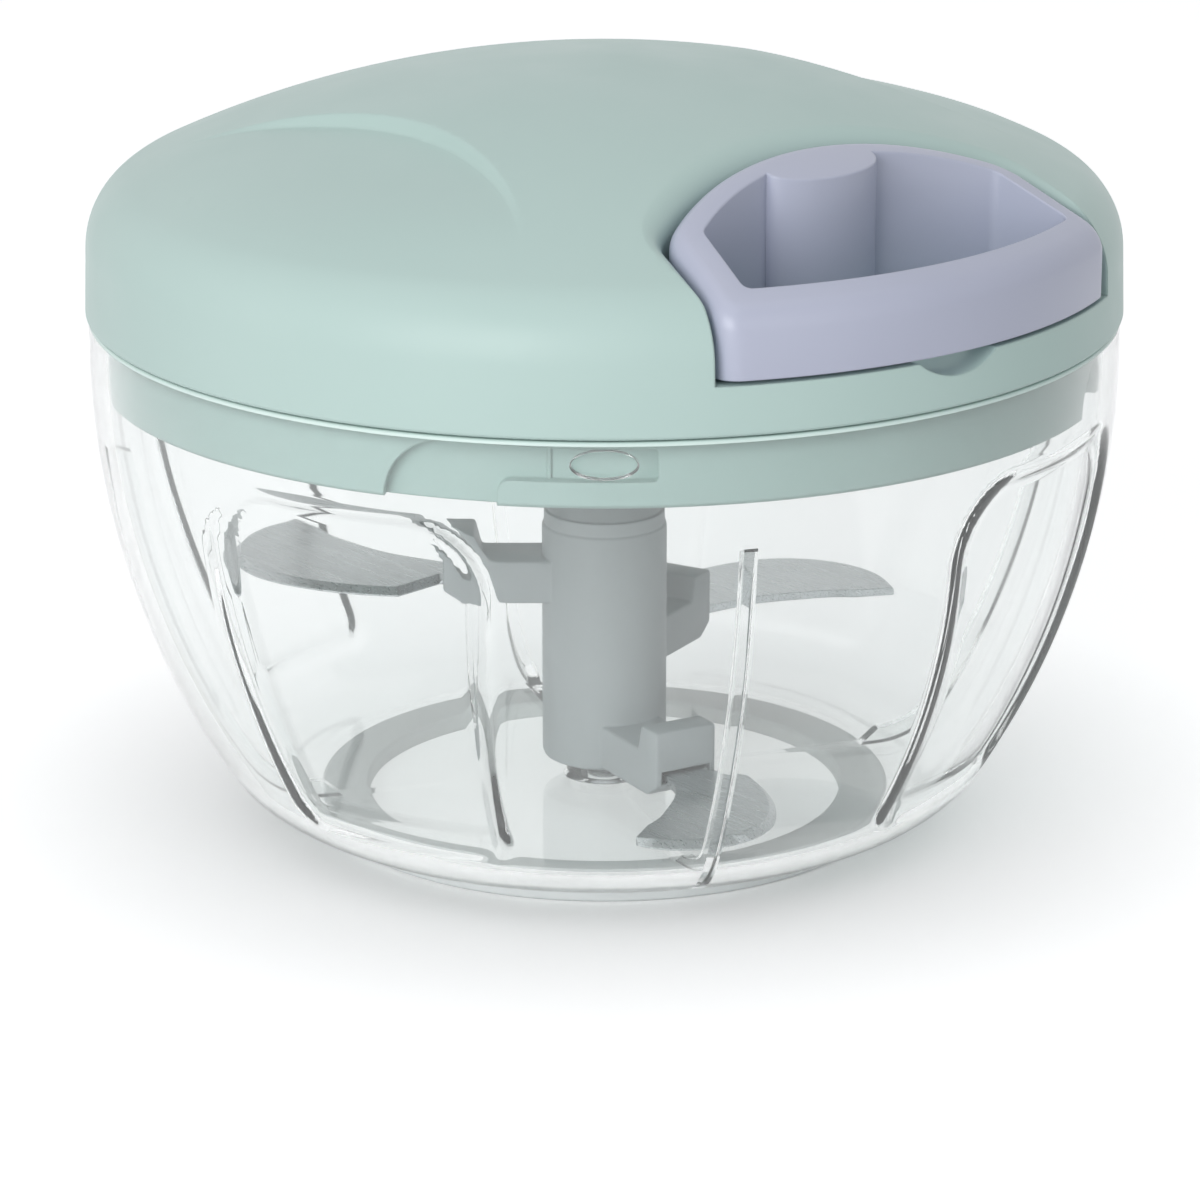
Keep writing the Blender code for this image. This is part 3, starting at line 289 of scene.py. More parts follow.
def two_tone(tree, fac, a, b):
    ramp = tree.nodes.new("ShaderNodeValToRGB")
    ramp.color_ramp.elements[0].position = 0.3
    ramp.color_ramp.elements[0].color = (*a, 1)
    ramp.color_ramp.elements[1].position = 0.7
    ramp.color_ramp.elements[1].color = (*b, 1)
    tree.links.new(fac, ramp.inputs["Fac"])
    return ramp.outputs["Color"]


def bumped(tree, shader, height, strength, depth=0.0001, edge=0.0004):
    bump = tree.nodes.new("ShaderNodeBump")
    bump.inputs["Strength"].default_value = strength
    bump.inputs["Distance"].default_value = depth
    tree.links.new(height, bump.inputs["Height"])
    if edge:
        bevel = tree.nodes.new("ShaderNodeBevel")
        bevel.samples = 6
        bevel.inputs["Radius"].default_value = edge
        tree.links.new(bevel.outputs["Normal"], bump.inputs["Normal"])
    tree.links.new(bump.outputs["Normal"], shader.inputs["Normal"])


def moulded(name, dark, light, rough, strength=0.05, edge=0.0004, gloss=0.28):
    """Satin moulded plastic: a faint cloudiness, a fine texture and uneven gloss."""
    mat, tree, shader = finish_named(name)
    tree.links.new(two_tone(tree, noise(tree, 22.0, 3.0), dark, light), shader.inputs["Base Color"])
    tree.links.new(ranged(tree, noise(tree, 90.0, 4.0), rough - 0.05, rough + 0.05), shader.inputs["Roughness"])
    shader.inputs["Specular IOR Level"].default_value = gloss
    bumped(tree, shader, noise(tree, 2600.0, 2.0), strength, edge=edge)
    return mat


def clear_plastic():
    """Clear plastic with a slight haze, uneven like a moulded wall; lamps shine through it."""
    mat, tree, shader = finish_named("clear_bowl_plastic")
    shader.inputs["Transmission Weight"].default_value = 0.94
    shader.inputs["IOR"].default_value = 1.40
    tree.links.new(two_tone(tree, noise(tree, 18.0), (0.955, 0.975, 0.97), (0.985, 0.992, 0.99)),
                   shader.inputs["Base Color"])
    tree.links.new(ranged(tree, noise(tree, 60.0, 3.0), 0.0, 0.035), shader.inputs["Roughness"])
    bumped(tree, shader, noise(tree, 26.0, 1.0), 0.12, 0.0003, edge=0)
    path = tree.nodes.new("ShaderNodeLightPath")
    clear = tree.nodes.new("ShaderNodeBsdfTransparent")
    clear.inputs["Color"].default_value = (0.90, 0.93, 0.925, 1)
    both = tree.nodes.new("ShaderNodeMixShader")
    tree.links.new(path.outputs["Is Shadow Ray"], both.inputs["Fac"])
    tree.links.new(shader.outputs[0], both.inputs[1])
    tree.links.new(clear.outputs[0], both.inputs[2])
    tree.links.new(both.outputs[0], tree.nodes["Material Output"].inputs["Surface"])
    return mat


def steel(name, dark, light, stretch, rough=0.24):
    """Steel with fine ground or turned streaks."""
    mat, tree, shader = finish_named(name)
    shader.inputs["Metallic"].default_value = 1.0
    streaks = noise(tree, 3.0, 3.0, stretch)
    tree.links.new(two_tone(tree, streaks, dark, light), shader.inputs["Base Color"])
    tree.links.new(ranged(tree, streaks, rough - 0.07, rough + 0.08), shader.inputs["Roughness"])
    bumped(tree, shader, streaks, 0.06, 0.00005, edge=0.0002)
    return mat


def braided(name, dark, light):
    mat, tree, shader = finish_named(name)
    coords = tree.nodes.new("ShaderNodeTexCoord")
    wave = tree.nodes.new("ShaderNodeTexWave")
    wave.bands_direction = "DIAGONAL"
    wave.inputs["Scale"].default_value = 900.0
    wave.inputs["Distortion"].default_value = 1.5
    tree.links.new(coords.outputs["Object"], wave.inputs["Vector"])
    tree.links.new(two_tone(tree, wave.outputs["Fac"], dark, light), shader.inputs["Base Color"])
    tree.links.new(ranged(tree, noise(tree, 700.0), 0.75, 0.92), shader.inputs["Roughness"])
    bumped(tree, shader, wave.outputs["Fac"], 0.5, 0.0001, edge=0)
    return mat


MINT = moulded("mint_lid_plastic", (0.475, 0.62, 0.585), (0.505, 0.645, 0.61), 0.40)
# The lid's mint made darker: painted shade for the skirt under the lid, seen through the bowl
SHADED_MINT_SKIRT = moulded("mint_skirt_plastic_painted_shade", (0.40, 0.54, 0.51), (0.425, 0.565, 0.535), 0.42)
LAVENDER = moulded("lavender_handle_plastic", (0.465, 0.49, 0.61), (0.505, 0.53, 0.65), 0.335, edge=0.0003,
                   gloss=0.5)
GREY = moulded("grey_rotor_plastic", (0.41, 0.44, 0.45), (0.45, 0.48, 0.49), 0.45, strength=0.03)
# A darker copy of the rotor grey: painted shade for the column's neck under the lid
SHADED_NECK_GREY = moulded("grey_rotor_neck_painted_shade", (0.25, 0.28, 0.285), (0.28, 0.31, 0.315), 0.45, strength=0.03)
WHITE = moulded("white_reel_plastic", (0.74, 0.75, 0.74), (0.80, 0.81, 0.80), 0.45)
FOOT = moulded("pale_foot_rubber", (0.72, 0.74, 0.74), (0.78, 0.80, 0.80), 0.62, strength=0.12)
CLEAR = clear_plastic()
# Pale mint for the rim's top: a painted highlight, tinted like light carried from the lid
RIM_HIGHLIGHT = moulded("pale_rim_painted_highlight", (0.70, 0.84, 0.80), (0.76, 0.89, 0.85), 0.34, strength=0.02, edge=0)
BLADE_STEEL = steel("ground_blade_steel", (0.42, 0.45, 0.46), (0.52, 0.55, 0.56), (30, 1400, 1400), 0.30)
PIN_STEEL = steel("turned_pin_steel", (0.52, 0.54, 0.56), (0.68, 0.70, 0.72), (60, 60, 900))
SPRING_STEEL = steel("blued_spring_steel", (0.16, 0.18, 0.23), (0.26, 0.28, 0.33), (60, 60, 900), 0.3)
CORD = braided("braided_cord", (0.50, 0.52, 0.53), (0.78, 0.79, 0.79))


# The bowl
def side_parts(inset, sides=66, corners=14):
    """Section of the wall from the band down to the floor."""
    mid_r, foot_z = BOWL_R - SIDE_ARC_R, FLOOR_Z + CORNER_R
    foot_r = mid_r + math.sqrt((SIDE_ARC_R - CORNER_R) ** 2 - (BAND_Z - foot_z) ** 2)
    turn = math.degrees(math.atan2(foot_z - BAND_Z, foot_r - mid_r))
    return (arc(mid_r, BAND_Z, SIDE_ARC_R - inset, 0, turn, sides)
            + arc(foot_r, foot_z, CORNER_R - inset, turn, -90, corners)[1:])


def panel_depth(u, z):
    """How far the wall is pressed in at a sideways distance from a panel's middle and a height."""
    slant = (PANEL_HALF - PANEL_LOW_HALF) / (PANEL_TOP - PANEL_LOW)
    d_side = (PANEL_LOW_HALF + slant * (z - PANEL_LOW) - abs(u)) * math.cos(math.atan(slant))
    d_top, d_low = PANEL_TOP - z, z - PANEL_LOW
    inside = min(d_side, d_top, d_low)
    for r, d_end in ((PANEL_LOW_CORNER_R, d_low), (PANEL_CORNER_R, d_top)):
        if d_side < r and d_end < r:
            inside = r - math.hypot(r - d_side, r - d_end)
    return PANEL_PRESS * smoothstep(inside / PANEL_EDGE + 0.1)


def make_bowl():
    outside = [(0, FLOOR_Z)] + side_parts(0)[::-1]
    rim_in, seat = BOWL_R - BOWL_WALL, RIM_Z - 0.45
    lip = [(BOWL_R, BAND_Z + 0.1), (BOWL_R, seat - 0.05), (BOWL_R, seat), (BOWL_R - 0.05, seat),
           (rim_in + 0.05, seat), (rim_in, seat), (rim_in, seat - 0.05), (rim_in, BAND_Z + 0.1)]
    inside = side_parts(BOWL_WALL)
    boss = [(5.8, 4.5), (5.3, 4.5), (4.7, 4.8), (4.5, 5.4), (4.5, 6.2), (4.2, 6.5), (2.2, 6.5), (2.2, 3.9), (0, 3.9)]
    bm = spun(outside + lip + inside + boss, 420)
    mid_r = BOWL_R - SIDE_ARC_R
    for v in bm.verts:
        r, z = math.hypot(v.co.x, v.co.y), v.co.z
        if r < 30 or not 8 < z < PANEL_TOP + 1:
            continue
        for angle in PANEL_ANGLES:
            off = math.atan2(v.co.y, v.co.x) - math.radians(angle)
            if math.cos(off) < 0.8:
                continue
            depth = panel_depth(r * math.sin(off), z)
            if depth > 0:
                normal = Vector((r - mid_r, z - BAND_Z)).normalized()
                v.co.x *= 1 - depth * normal.x / r
                v.co.y *= 1 - depth * normal.x / r
                v.co.z -= depth * normal.y
    shell = body_from(bm)

    inner = [p for p in side_parts(BOWL_WALL - 1.0, 30, 10) if p[1] <= 51.5]
    ridge = [p for p in side_parts(BOWL_WALL + 2.0, 30, 10) if p[1] <= 47.0]
    rib = [(inner[0][0], 51.5)] + inner + [(ridge[-1][0] - 3.6, 3.5)] + ridge[::-1] + [(ridge[0][0] + 0.9, 50.4)]
    ribs = []
    for angle in RIB_ANGLES:
        plate = standing(rib, 0, 0.8)
        crest = {(round(r, 2), round(z, 2)) for r, z in ridge}
        edges = [e for e in plate.edges if e.verts[0].co.y == e.verts[1].co.y
                 and all((round(v.co.x, 2), round(v.co.z, 2)) in crest for v in e.verts)]
        bmesh.ops.bevel(plate, geom=edges, offset=0.3, offset_type="OFFSET", segments=3, profile=0.5, affect="EDGES",
                        material=-1)
        ribs.append(turned(plate, angle))

    lugs = []
    for angle in LUG_ANGLES:
        oval = [(LUG_HALF * x, LUG_Z + 1.7 * z) for x, z in arc(0, 0, 1, 0, 352.5, 47)]
        lug = outward(oval, 0, 58.8, 61.2)
        rim = [e for e in lug.edges if all(v.co.x < 59 for v in e.verts)]
        bmesh.ops.bevel(lug, geom=rim, offset=0.7, offset_type="OFFSET", segments=4, profile=0.5, affect="EDGES",
                        material=-1)
        lugs.append(turned(lug, angle))
    fuse(shell, together(lugs), together(ribs))
    finished(shell, "bowl_shell", "bowl", CLEAR, ("bowl",), sharp=40)
    even_normals(shell)
    # An opaque pale ring on the clear rim's top: a painted highlight where the lip catches the light
    top = [(rim_in + 0.02, seat - 0.02), (BOWL_R - 0.02, seat - 0.02), (BOWL_R, seat + 0.05)]
    top += arc(BOWL_R - 0.35, RIM_Z - 0.35, 0.35, 0, 90, 6) + arc(rim_in + 0.35, RIM_Z - 0.35, 0.35, 90, 180, 6)
    finished(spun(top, 288), "rim_painted_highlight", "bowl", RIM_HIGHLIGHT, sharp=50)
    finished(spun([(29.5, 0.3), (29.8, 0), (34.9, 0), (35.3, 0.25), (35.5, 0.8), (35.5, 1.9), (35.2, 2.2),
                   (29.8, 2.2), (29.5, 1.9)], 160), "foot_ring", "bowl", FOOT, ("foot_pad",))
    finished(spun([(0, 3.4), (1.7, 3.9), (2.0, 4.2), (2.0, 15.9), (1.8, 16.6), (1.2, 17.0), (0, 17.0)], 48),
             "centre_spindle", "bowl", PIN_STEEL, ("centre_pin",))


# The blade rotor
def make_rotor():
    column = [(2.2, 6.8), (6.9, 6.8), (7.5, 7.1), (7.7, 7.7), (7.7, 36.5), (7.62, 36.7), (7.45, 36.8), (7.45, 38.3),
              (7.4, 38.5), (7.1, 38.6), (7.1, 55.4), (6.8, 56.0), (5.0, 56.4), (5.0, 65.1), (4.7, 65.4), (0, 65.4),
              (0, 17.6), (2.2, 17.6)]
    shaft = body_from(spun(column, 128))
    for i in range(3):
        fin = arc(0, 0, 4.0, -9, 9, 3) + arc(0, 0, 7.1, 9, -9, 3)
        fuse(shaft, turned(upright(fin, 55.0, 65.4), 120.0 * i))
    for name, angle, foot, reach in ARMS:
        side = [(5.7, foot), (17.4, foot), (19.8, foot + 1.6), (19.8, foot + 8.5), (16.0, foot + 8.5),
                (15.2, foot + 5.4), (5.7, foot + 5.4)]
        arm = standing(side, angle, 4.2)
        bmesh.ops.bevel(arm, geom=[e for e in arm.edges if e.calc_length() > 2.0], offset=0.4, offset_type="OFFSET",
                        segments=2, profile=0.5, affect="EDGES", material=-1)
        fuse(shaft, arm)
        slot = [(-3.4, foot + 1.9), (3.4, foot + 1.9), (3.4, foot + 3.5), (-3.4, foot + 3.5)]
        cut(shaft, outward(slot, angle, 9.5, 22))
        leaf = turned(curved_blade(reach, foot + 2.2), angle)
        finished(leaf, name + "_blade_leaf", "blade_rotor", BLADE_STEEL, ("blade_" + name,), sharp=20)
    finished(shaft, "rotor_column", "blade_rotor", GREY, ("blade_shaft",))
    # Faces above the neck's step take the darker grey, a painted shade
    shaft.data.materials.append(SHADED_NECK_GREY)
    for face in shaft.data.polygons:
        face.material_index = int(face.center.z * 1000 > SHADED_NECK_Z)


def blade_plan(k, n=40):
    """Pairs of points on a blade's trailing and leading side, its curve scaled by k."""
    plan = []
    for i in range(n):
        a = 86.0 - 81.0 * i / (n - 1)
        lead = 17.2 + 13.5 * math.sin(math.pi / 2 * min(1.0, max(0.0, (a - 5.0) / 50.0))) ** 0.8
        trail = 14.3 + 2.4 * max(0.0, (24.0 - a) / 19.0) ** 1.5 + 2.0 * max(0.0, (a - 48.0) / 28.0) ** 1.5
        cx, sx = math.cos(math.radians(a)), math.sin(math.radians(a))
        plan.append([(23 + k * r * cx, k * (r * sx - 22.5)) for r in (trail, lead)])
    return plan


def curved_blade(reach, low):
    """A flat leaf that curves back to a point, ground thin along its leading side."""
    small, k = 0.0, 2.0
    for _ in range(30):
        half = (small + k) / 2
        if max(math.hypot(*pair[1]) for pair in blade_plan(half)) < reach:
            small = half
        else:
            k = half
    plan = [((9.8, -3.1), (9.8, 3.1)), ((20.3, -3.1), (20.3, 3.1))] + blade_plan(k)
    bm = bmesh.new()
    strip = [[bm.verts.new((*p, low)) for p in pair] for pair in plan]
    for a, b in zip(strip, strip[1:]):
        bm.faces.new((a[0], a[1], b[1], b[0]))
    bmesh.ops.recalc_face_normals(bm, faces=bm.faces)
    grown = bmesh.ops.extrude_face_region(bm, geom=bm.faces[:])["geom"]
    top = [v for v in grown if isinstance(v, bmesh.types.BMVert)]
    bmesh.ops.translate(bm, verts=top, vec=(0, 0, 1.0))
    bmesh.ops.recalc_face_normals(bm, faces=bm.faces)
    leading = {(round(p[1][0], 3), round(p[1][1], 3)) for p in plan[1:]}
    edge = [e for e in bm.edges if all(v.co.z > low + 0.5 and (round(v.co.x, 3), round(v.co.y, 3)) in leading
                                       for v in e.verts)]
    bmesh.ops.bevel(bm, geom=edge, offset=0.85, offset_type="OFFSET", segments=1, profile=0.5, affect="EDGES",
                    material=-1)
    return bm


# The lid
def crown_height(r, drop=0.0):
    return CROWN_MID + math.sqrt((CROWN_R - drop) ** 2 - r * r)


def lid_profile(inner=False, crowns=64, shoulders=18):
    mid_r = LID_R - SHOULDER_R
    small = SHOULDER_R - (LID_WALL if inner else 0)
    big = CROWN_R - (CROWN_WALL if inner else 0)
    mid_z = CROWN_MID + math.sqrt((big - small) ** 2 - mid_r ** 2)
    turn = math.degrees(math.atan2(mid_z - CROWN_MID, mid_r))
    shoulder = arc(mid_r, mid_z, small, 0, turn, shoulders)
    crown = arc(0, CROWN_MID, big, turn, 90, crowns)
    return shoulder + crown[1:]


def lid_top(r):
    """Height of the lid's outside at a radius."""
    mid_r = LID_R - SHOULDER_R
    mid_z = CROWN_MID + math.sqrt((CROWN_R - SHOULDER_R) ** 2 - mid_r ** 2)
    meet = mid_r + SHOULDER_R * mid_r / (CROWN_R - SHOULDER_R)
    if r <= meet:
        return crown_height(r)
    return mid_z + math.sqrt(max(0.0, SHOULDER_R ** 2 - (min(r, LID_R) - mid_r) ** 2))


def bay_outline(back, side, front_r, corner_r, nose_r, n=24):
    """Plan of the handle: arched back, leaning sides and a round front; back and side move it inwards."""
    kx, big, slope = BAY_BACK_X + BAY_ARCH_R, BAY_ARCH_R - back, math.radians(BAY_LEAN)
    dx, dy = math.cos(slope), math.sin(slope)
    nx, ny = dy, -dx
    px = LID_R * math.cos(math.radians(BAY_CORNER_ANGLE)) + nx * side
    py = LID_R * math.sin(math.radians(BAY_CORNER_ANGLE)) + ny * side

    def meet(cx, reach, off, far):
        ox, oy = px + nx * off - cx, py + ny * off
        b = ox * dx + oy * dy
        t = -b + far * math.sqrt(b * b - (ox * ox + oy * oy - reach * reach))
        return px + nx * off + t * dx, py + ny * off + t * dy

    bx, by = meet(kx, big - corner_r, corner_r, -1)
    fx, fy = meet(0.0, front_r - nose_r, nose_r, 1)
    back_a = math.degrees(math.atan2(by, bx - kx))
    front_a = math.degrees(math.atan2(fy, fx))
    half = arc(0, 0, front_r, 0, front_a, n)
    if nose_r > 0:
        half += arc(fx, fy, nose_r, front_a, 104.0, 8)[1:]
    half += arc(bx, by, corner_r, 104.0, back_a, 12)
    half += arc(kx, 0, big, back_a, 180, n)[1:]
    return half + [(x, -y) for x, y in half[-2:0:-1]]


def scoop_tool(side):
    """What a thumb scoop takes away: a step along an arc, run out at its ends and towards the shoulder."""
    bm = bmesh.new()
    rows = []
    for s in [SCOOP_STEP * i / 8 for i in range(9)] + [2.5, 4, 6, 8.5, 11, 14, 17, 20, 23, 25.5, 27.5]:
        row = []
        for i, (x, y) in enumerate(arc(-0.5, -SCOOP_Y, SCOOP_R - s, 50, 130, 120)):
            ends = (1 - (i / 60 - 1) ** 2) ** 1.5
            r = math.hypot(x, y)
            depth = SCOOP_DEPTH * ends * smoothstep(s / SCOOP_STEP) * smoothstep((56 - r) / 22)
            row.append(bm.verts.new((x, -side * y, lid_top(r) + 0.02 - depth + 1.5 * max(0.0, r - 55.5))))
        rows.append(row)
    for a, b in zip(rows, rows[1:]):
        for i in range(120):
            bm.faces.new((a[i], a[i + 1], b[i + 1], b[i]))
    grown = bmesh.ops.extrude_face_region(bm, geom=bm.faces[:])["geom"]
    bmesh.ops.translate(bm, verts=[v for v in grown if isinstance(v, bmesh.types.BMVert)], vec=(0, 0, 15))
    bmesh.ops.recalc_face_normals(bm, faces=bm.faces)
    return bm


def pocket_tool():
    """What the handle's pocket takes away, flared so that its rim is rounded over."""
    plan = [Vector(p) for p in bay_outline(-POCKET_GAP, -POCKET_GAP, 80.0, 6.8, 0.0, 40)]
    bm = bmesh.new()
    rings = []
    count = len(plan)
    for step in ["floor"] + list(range(9)) + ["top"]:
        ring = []
        for i, p in enumerate(plan):
            along = (plan[(i + 1) % count] - plan[i - 1]).normalized()
            normal = Vector((along.y, -along.x))
            soft = 0.9 + 2.2 * smoothstep((50.0 - p.x) / 14.0)
            if step == "floor":
                ring.append((p.x, p.y, POCKET_FLOOR_Z))
            elif step == "top":
                q = p + normal * (soft + 0.3)
                ring.append((q.x, q.y, 104.0))
            else:
                a = math.radians(90.0 * step / 8)
                q = p + normal * soft * (1 - math.cos(a))
                ring.append((q.x, q.y, lid_top(q.length) - soft * (1 - math.sin(a)) + (0.05 if step == 8 else 0)))
        rings.append([bm.verts.new(p) for p in ring])
    for a, b in zip(rings, rings[1:]):
        for i in range(count):
            j = (i + 1) % count
            bm.faces.new((a[i], a[j], b[j], b[i]))
    bm.faces.new(rings[0][::-1])
    bm.faces.new(rings[-1])
    bmesh.ops.recalc_face_normals(bm, faces=bm.faces)
    return bm


def make_lid_cover():
    wall = [(0, LID_EDGE_Z), (LID_R, LID_EDGE_Z), (LID_R + 0.25, LID_EDGE_Z + 0.25)]
    cover = body_from(spun(wall + lid_profile(), 320))
    cavity = body_from(spun([(0, LID_EDGE_Z - 1), (LID_R - LID_WALL, LID_EDGE_Z - 1)]
                            + lid_profile(True, 10, 5), 96))
    cut(cavity, upright(bay_outline(-2.8, -2.8, 90.0, 8.8, 0.0), 66.9, 99))
    cut(cavity, together([rod(3.8, 66.9, CROWN_Z, 32, p) for p in SCREW_SPOTS]), rod(4.5, 75.2, CROWN_Z))
    cut(cover, together([scoop_tool(-1), scoop_tool(1)]), pocket_tool())
    dip = turned(rod(NOTCH_R, 0, 70, 128), 90, "Y")
    cut(cover, shifted(dip, LID_R - 10.0, NOTCH_Y, POCKET_FLOOR_Z - NOTCH_DEPTH + NOTCH_R))
    cut(cover, cavity)
    cut(cover, together([rod(1.6, 64.8, 76.3, 24, p) for p in SCREW_SPOTS]), rod(2.2, 74.2, 90.1, 32))
    cut(cover, shifted(turned(rod(2.4, 27.9, 35.9, 32), 90, "Y"), 0, 0, GUIDE_Z))
    finished(cover, "lid_dome", "lid", MINT, ("lid_cover",), sharp=28)
    even_normals(cover)


def make_lid_base():
    section = [(9.7, 66.5), (9.6, 66.4), (9.6, 61.4), (9.9, 61.2), (11.3, 61.2), (11.6, 61.5), (11.6, 64.8),
               (57.1, 64.8), (57.1, 56.7), (57.4, 56.35), (59.8, 56.35), (60.1, 56.7), (60.1, 64.2), (59.7, 64.5),
               (59.7, 66.3), (59.5, 66.6), (9.7, 66.6)]
    base = body_from(spun(section, 256))
    cut(base, together([rod(1.6, 63, 68, 24, p) for p in SCREW_SPOTS]))
    mid = -TURN / 2
    lug = math.degrees(LUG_HALF / TRACK_R) + 2.3

    def across(angle):
        return TRACK_R * math.sin(math.radians(angle - mid))

    left, right, gate = across(-TURN - lug), across(lug), across(-TURN + lug)
    outline = rounded([(gate, 55.3), (gate, 59.4), (right, 59.4), (right, 63.5)], [0, 1.5, 0.6, 0.6], 8)
    outline += [(left + 6.4 - 7.2 * c, 56.3 + 7.2 * h) for c, h in arc(0, 0, 1, 90, 0, 16)] + [(left - 0.8, 55.3)]
    track = body_from(together([outward(outline, a + mid, 50, 63) for a in LUG_ANGLES]))
    cut(track, rod(TRACK_R, 53, 68, 256))
    cut(base, track)
    stop = [(right - 0.2, 55.3), (right + 0.2, 55.3), (right + 0.2, 63.4), (right - 0.2, 63.4)]
    cut(base, together([outward(stop, a + mid, 59.3, 61) for a in LUG_ANGLES]))
    bump = across(-5.9)
    ridge = [(bump - 0.2, 59.3), (bump + 0.2, 59.3), (bump + 0.2, 63.6), (bump - 0.2, 63.6)]
    fuse(base, together([outward(ridge, a + mid, 58.0, 58.75) for a in LUG_ANGLES]))
    finished(base, "lid_skirt_plate", "lid", SHADED_MINT_SKIRT, ("lid_base",))


def make_handle():
    outer = bay_outline(0, 0, LID_R, 6.0, 3.0, 40)
    inner = bay_outline(3.7, 4.3, LID_R - 3.8, 1.8, 1.2, 40)
    # The cord boss stands out of the back wall
    spots = [i for i, (x, y) in enumerate(inner) if abs(y - BOSS_Y) < BOSS_HALF + 0.1 and x < 45]
    for i, (c, s) in zip(spots, arc(0, 0, 1, 0, 180, len(spots) - 1)):
        inner[i] = (BOSS_X + BOSS_OUT * s, BOSS_Y + BOSS_HALF * c)
    bm = bmesh.new()
    loops = []
    for outline in (outer, inner):
        verts = [bm.verts.new((x, y, HANDLE_FOOT_Z)) for x, y in outline]
        loops.append([bm.edges.new((verts[i - 1], verts[i])) for i in range(len(verts))])
    bmesh.ops.bridge_loops(bm, edges=loops[0] + loops[1])
    grown = bmesh.ops.extrude_face_region(bm, geom=bm.faces[:])["geom"]
    for v in [v for v in grown if isinstance(v, bmesh.types.BMVert)]:
        v.co.z = crown_height(math.hypot(v.co.x, v.co.y), HANDLE_DROP)
    bmesh.ops.recalc_face_normals(bm, faces=bm.faces)
    for outline, soft, steps in ((outer, 2.2, 8), (inner, 1.0, 5)):
        rim = [e for e in bm.edges if all(v.co.z > HANDLE_FOOT_Z + 2 and any(
            abs(v.co.x - x) < 1e-3 and abs(v.co.y - y) < 1e-3 for x, y in outline) for v in e.verts)]
        bmesh.ops.bevel(bm, geom=rim, offset=soft, offset_type="OFFSET", segments=steps, profile=0.5,
                        affect="EDGES", material=-1, clamp_overlap=True)
    low = [e for e in bm.edges if len(e.link_faces) == 2 and e.calc_face_angle(0) > math.radians(50)
           and max(v.co.z for v in e.verts) < HANDLE_FOOT_Z + 0.1]
    bmesh.ops.bevel(bm, geom=low, offset=0.5, offset_type="OFFSET", segments=3, profile=0.5, affect="EDGES",
                    material=-1, clamp_overlap=True)
    body = body_from(tidied(bm))
    cut(body, rod(2.4, 70, 82.4, 40, (37.6, 0)))
    cut(body, shifted(turned(rod(1.3, 29.7, 37.4, 28), 90, "Y"), 0, 0, GUIDE_Z))
    finished(body, "pull_handle", "handle", LAVENDER, ("handle",), sharp=38)


def make_cord():
    """The pulled cord as a short straight piece from the eyelet into the handle, and smooth copies of the cord's
    coil, lead and knot.
    """
    start, end = 33.35, 35.55
    side = [(CORD_R, start + 0.1 + (end - start - 0.2) * i / 40) for i in range(41)]
    ring = spun([(0.0, start), (0.7, start)] + side + [(0.7, end), (0.0, end)], 16)
    pulled = body_from(shifted(turned(ring, 90, "Y"), 0, 0, GUIDE_Z), "pulled_cord")
    pulled.data.transform(Matrix.Scale(0.001, 4))
    pulled.data.shade_smooth()
    pulled.data.materials.append(CORD)
    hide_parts("cord_pull")
    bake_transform(pulled)
    for node, body, look in (("cord_coil", "reel", CORD), ("cord_lead", "lid", CORD), ("cord_knot", "handle", CORD)):
        smooth_copy(node, body, look, 50)


def make_mechanism():
    for node, body in (("drive_hub", "drive_hub"), ("reel", "reel"), ("reel_cap", "reel")):
        smooth_copy(node, body, WHITE, 30)
    smooth_copy("reel_axle", "axle", PIN_STEEL, 30)
    smooth_copy("mainspring", "lid", SPRING_STEEL, 50)
    steel_parts = [("pawl_1", "pawl_1"), ("pawl_2", "pawl_2"), ("cord_guide", "lid")]
    for node, body in steel_parts + [("screw_%d" % i, "lid") for i in range(1, 5)]:
        smooth_copy(node, body, PIN_STEEL, 30)


# The studio
def plain_view(tree):
    """One where the background is seen: straight, in a reflection or through the bowl."""
    path = tree.nodes.new("ShaderNodeLightPath")
    fac = path.outputs["Is Camera Ray"]
    for how, source in (("MAXIMUM", "Is Glossy Ray"), ("MAXIMUM", "Is Transmission Ray"),
                        ("SUBTRACT", "Diffuse Depth")):
        more = tree.nodes.new("ShaderNodeMath")
        more.operation, more.use_clamp = how, True
        tree.links.new(fac, more.inputs[0])
        tree.links.new(path.outputs[source], more.inputs[1])
        fac = more.outputs[0]
    return fac


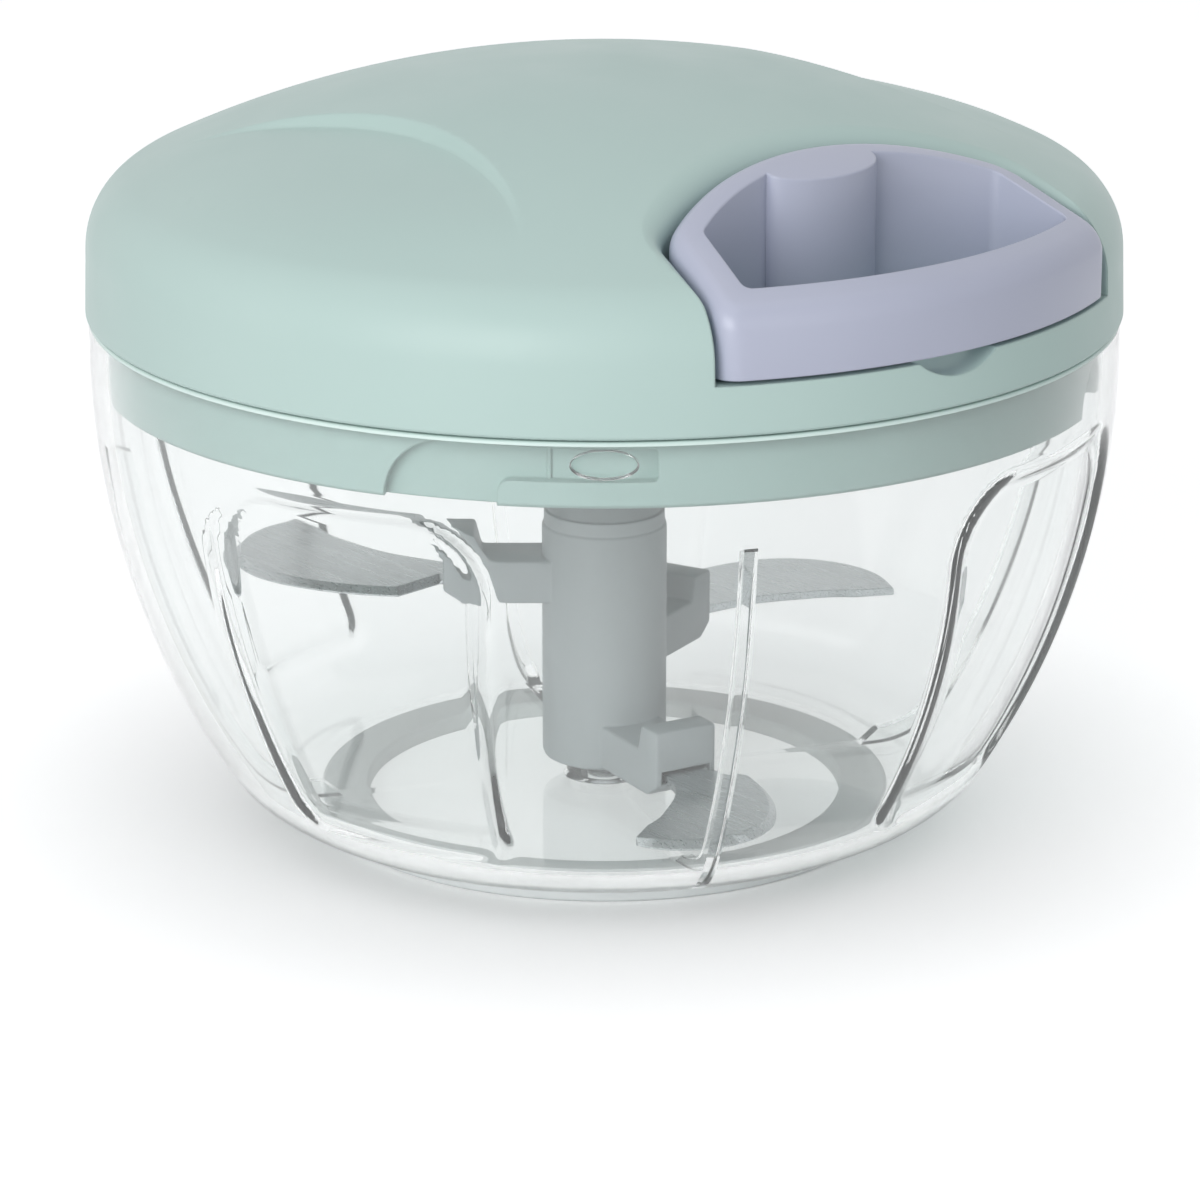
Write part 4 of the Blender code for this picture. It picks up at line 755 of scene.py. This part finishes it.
def make_studio():
    scene = bpy.context.scene
    floor = bmesh.new()
    bmesh.ops.create_grid(floor, x_segments=1, y_segments=1, size=4.0)
    ground = body_from(floor, "floor")
    mat, tree, shader = finish_named("pale_floor")
    shader.inputs["Roughness"].default_value = 0.9
    shader.inputs["Specular IOR Level"].default_value = 0.1
    tree.links.new(two_tone(tree, noise(tree, 3.0), (0.885, 0.885, 0.885), (0.895, 0.895, 0.895)),
                   shader.inputs["Base Color"])
    out = tree.nodes["Material Output"]
    glow = tree.nodes.new("ShaderNodeEmission")
    both = tree.nodes.new("ShaderNodeAddShader")
    seen = tree.nodes.new("ShaderNodeMixShader")
    tree.links.new(plain_view(tree), seen.inputs["Fac"])
    # Ambient occlusion dims the floor's glow near the object: a painted contact shadow, left off where the floor is
    # seen through the bowl
    contact_shadow_ao = tree.nodes.new("ShaderNodeAmbientOcclusion")
    contact_shadow_ao.inputs["Distance"].default_value = 0.045
    contact_shadow_ao.samples = 8
    path = tree.nodes.new("ShaderNodeLightPath")
    unshadowed_glow = tree.nodes.new("ShaderNodeMath")
    unshadowed_glow.operation = "MAXIMUM"
    tree.links.new(contact_shadow_ao.outputs["AO"], unshadowed_glow.inputs[0])
    tree.links.new(path.outputs["Is Transmission Ray"], unshadowed_glow.inputs[1])
    tree.links.new(ranged(tree, unshadowed_glow.outputs[0], 0.13, 0.53, 0.0, 1.0), glow.inputs["Strength"])
    tree.links.new(shader.outputs[0], both.inputs[0])
    tree.links.new(glow.outputs[0], both.inputs[1])
    tree.links.new(shader.outputs[0], seen.inputs[1])
    tree.links.new(both.outputs[0], seen.inputs[2])
    tree.links.new(seen.outputs[0], out.inputs["Surface"])
    ground.data.materials.append(mat)

    def softbox(name, place, aim, size, watts):
        light = bpy.data.lights.new(name, "AREA")
        light.shape, light.size, light.size_y, light.energy = "RECTANGLE", size[0], size[1], watts
        obj = bpy.data.objects.new(name, light)
        scene.collection.objects.link(obj)
        obj.location = place
        obj.rotation_euler = (Vector(aim) - Vector(place)).to_track_quat("-Z", "Y").to_euler()
        obj.visible_transmission = False

    back = Vector((math.sin(math.radians(PHOTO_AZIMUTH)), -math.cos(math.radians(PHOTO_AZIMUTH)), 0))
    left = Vector((back.y, -back.x, 0))
    softbox("top_softbox", (0.0, 0.0, 0.95), (0, 0, 0.05), (0.9, 0.9), 1.6)
    key = back * 0.8 + left * 0.42 + Vector((0, 0, 0.35))
    softbox("key_softbox", key, (0, 0, 0.05), (0.6, 0.6), 4.8)
    fill = back * 0.7 - left * 0.6 + Vector((0, 0, 0.35))
    softbox("fill_softbox", fill, (0, 0, 0.05), (0.5, 0.7), 0.65)

    world = bpy.data.worlds.new("studio")
    scene.world = world
    world.use_nodes = True
    tree = world.node_tree
    tree.nodes.clear()
    out = tree.nodes.new("ShaderNodeOutputWorld")
    soft = tree.nodes.new("ShaderNodeBackground")
    soft.inputs["Color"].default_value = (0.95, 0.97, 1.0, 1)
    soft.inputs["Strength"].default_value = 0.38
    white = tree.nodes.new("ShaderNodeBackground")
    white.inputs["Color"].default_value = (1, 1, 1, 1)
    white.inputs["Strength"].default_value = 1.0
    mix = tree.nodes.new("ShaderNodeMixShader")
    tree.links.new(plain_view(tree), mix.inputs["Fac"])
    tree.links.new(soft.outputs[0], mix.inputs[1])
    tree.links.new(white.outputs[0], mix.inputs[2])
    tree.links.new(mix.outputs[0], out.inputs["Surface"])

    cam = bpy.data.cameras.new("photo_camera")
    cam.sensor_width, cam.lens = 36.0, 157.75
    cam.shift_x = -0.003625
    cam.clip_start, cam.clip_end = 0.01, 20.0
    eye = bpy.data.objects.new("photo_camera", cam)
    scene.collection.objects.link(eye)
    tilt = math.radians(PHOTO_TILT)
    line = back * math.cos(tilt) + Vector((0, 0, math.sin(tilt)))
    eye.location = Vector((0, 0, 0.0265)) + line * 0.65
    eye.rotation_euler = (-line).to_track_quat("-Z", "Y").to_euler()
    scene.camera = eye
    scene.view_settings.view_transform = "Standard"


make_bowl()
make_rotor()
make_lid_cover()
make_lid_base()
make_handle()
make_cord()
make_mechanism()
make_studio()
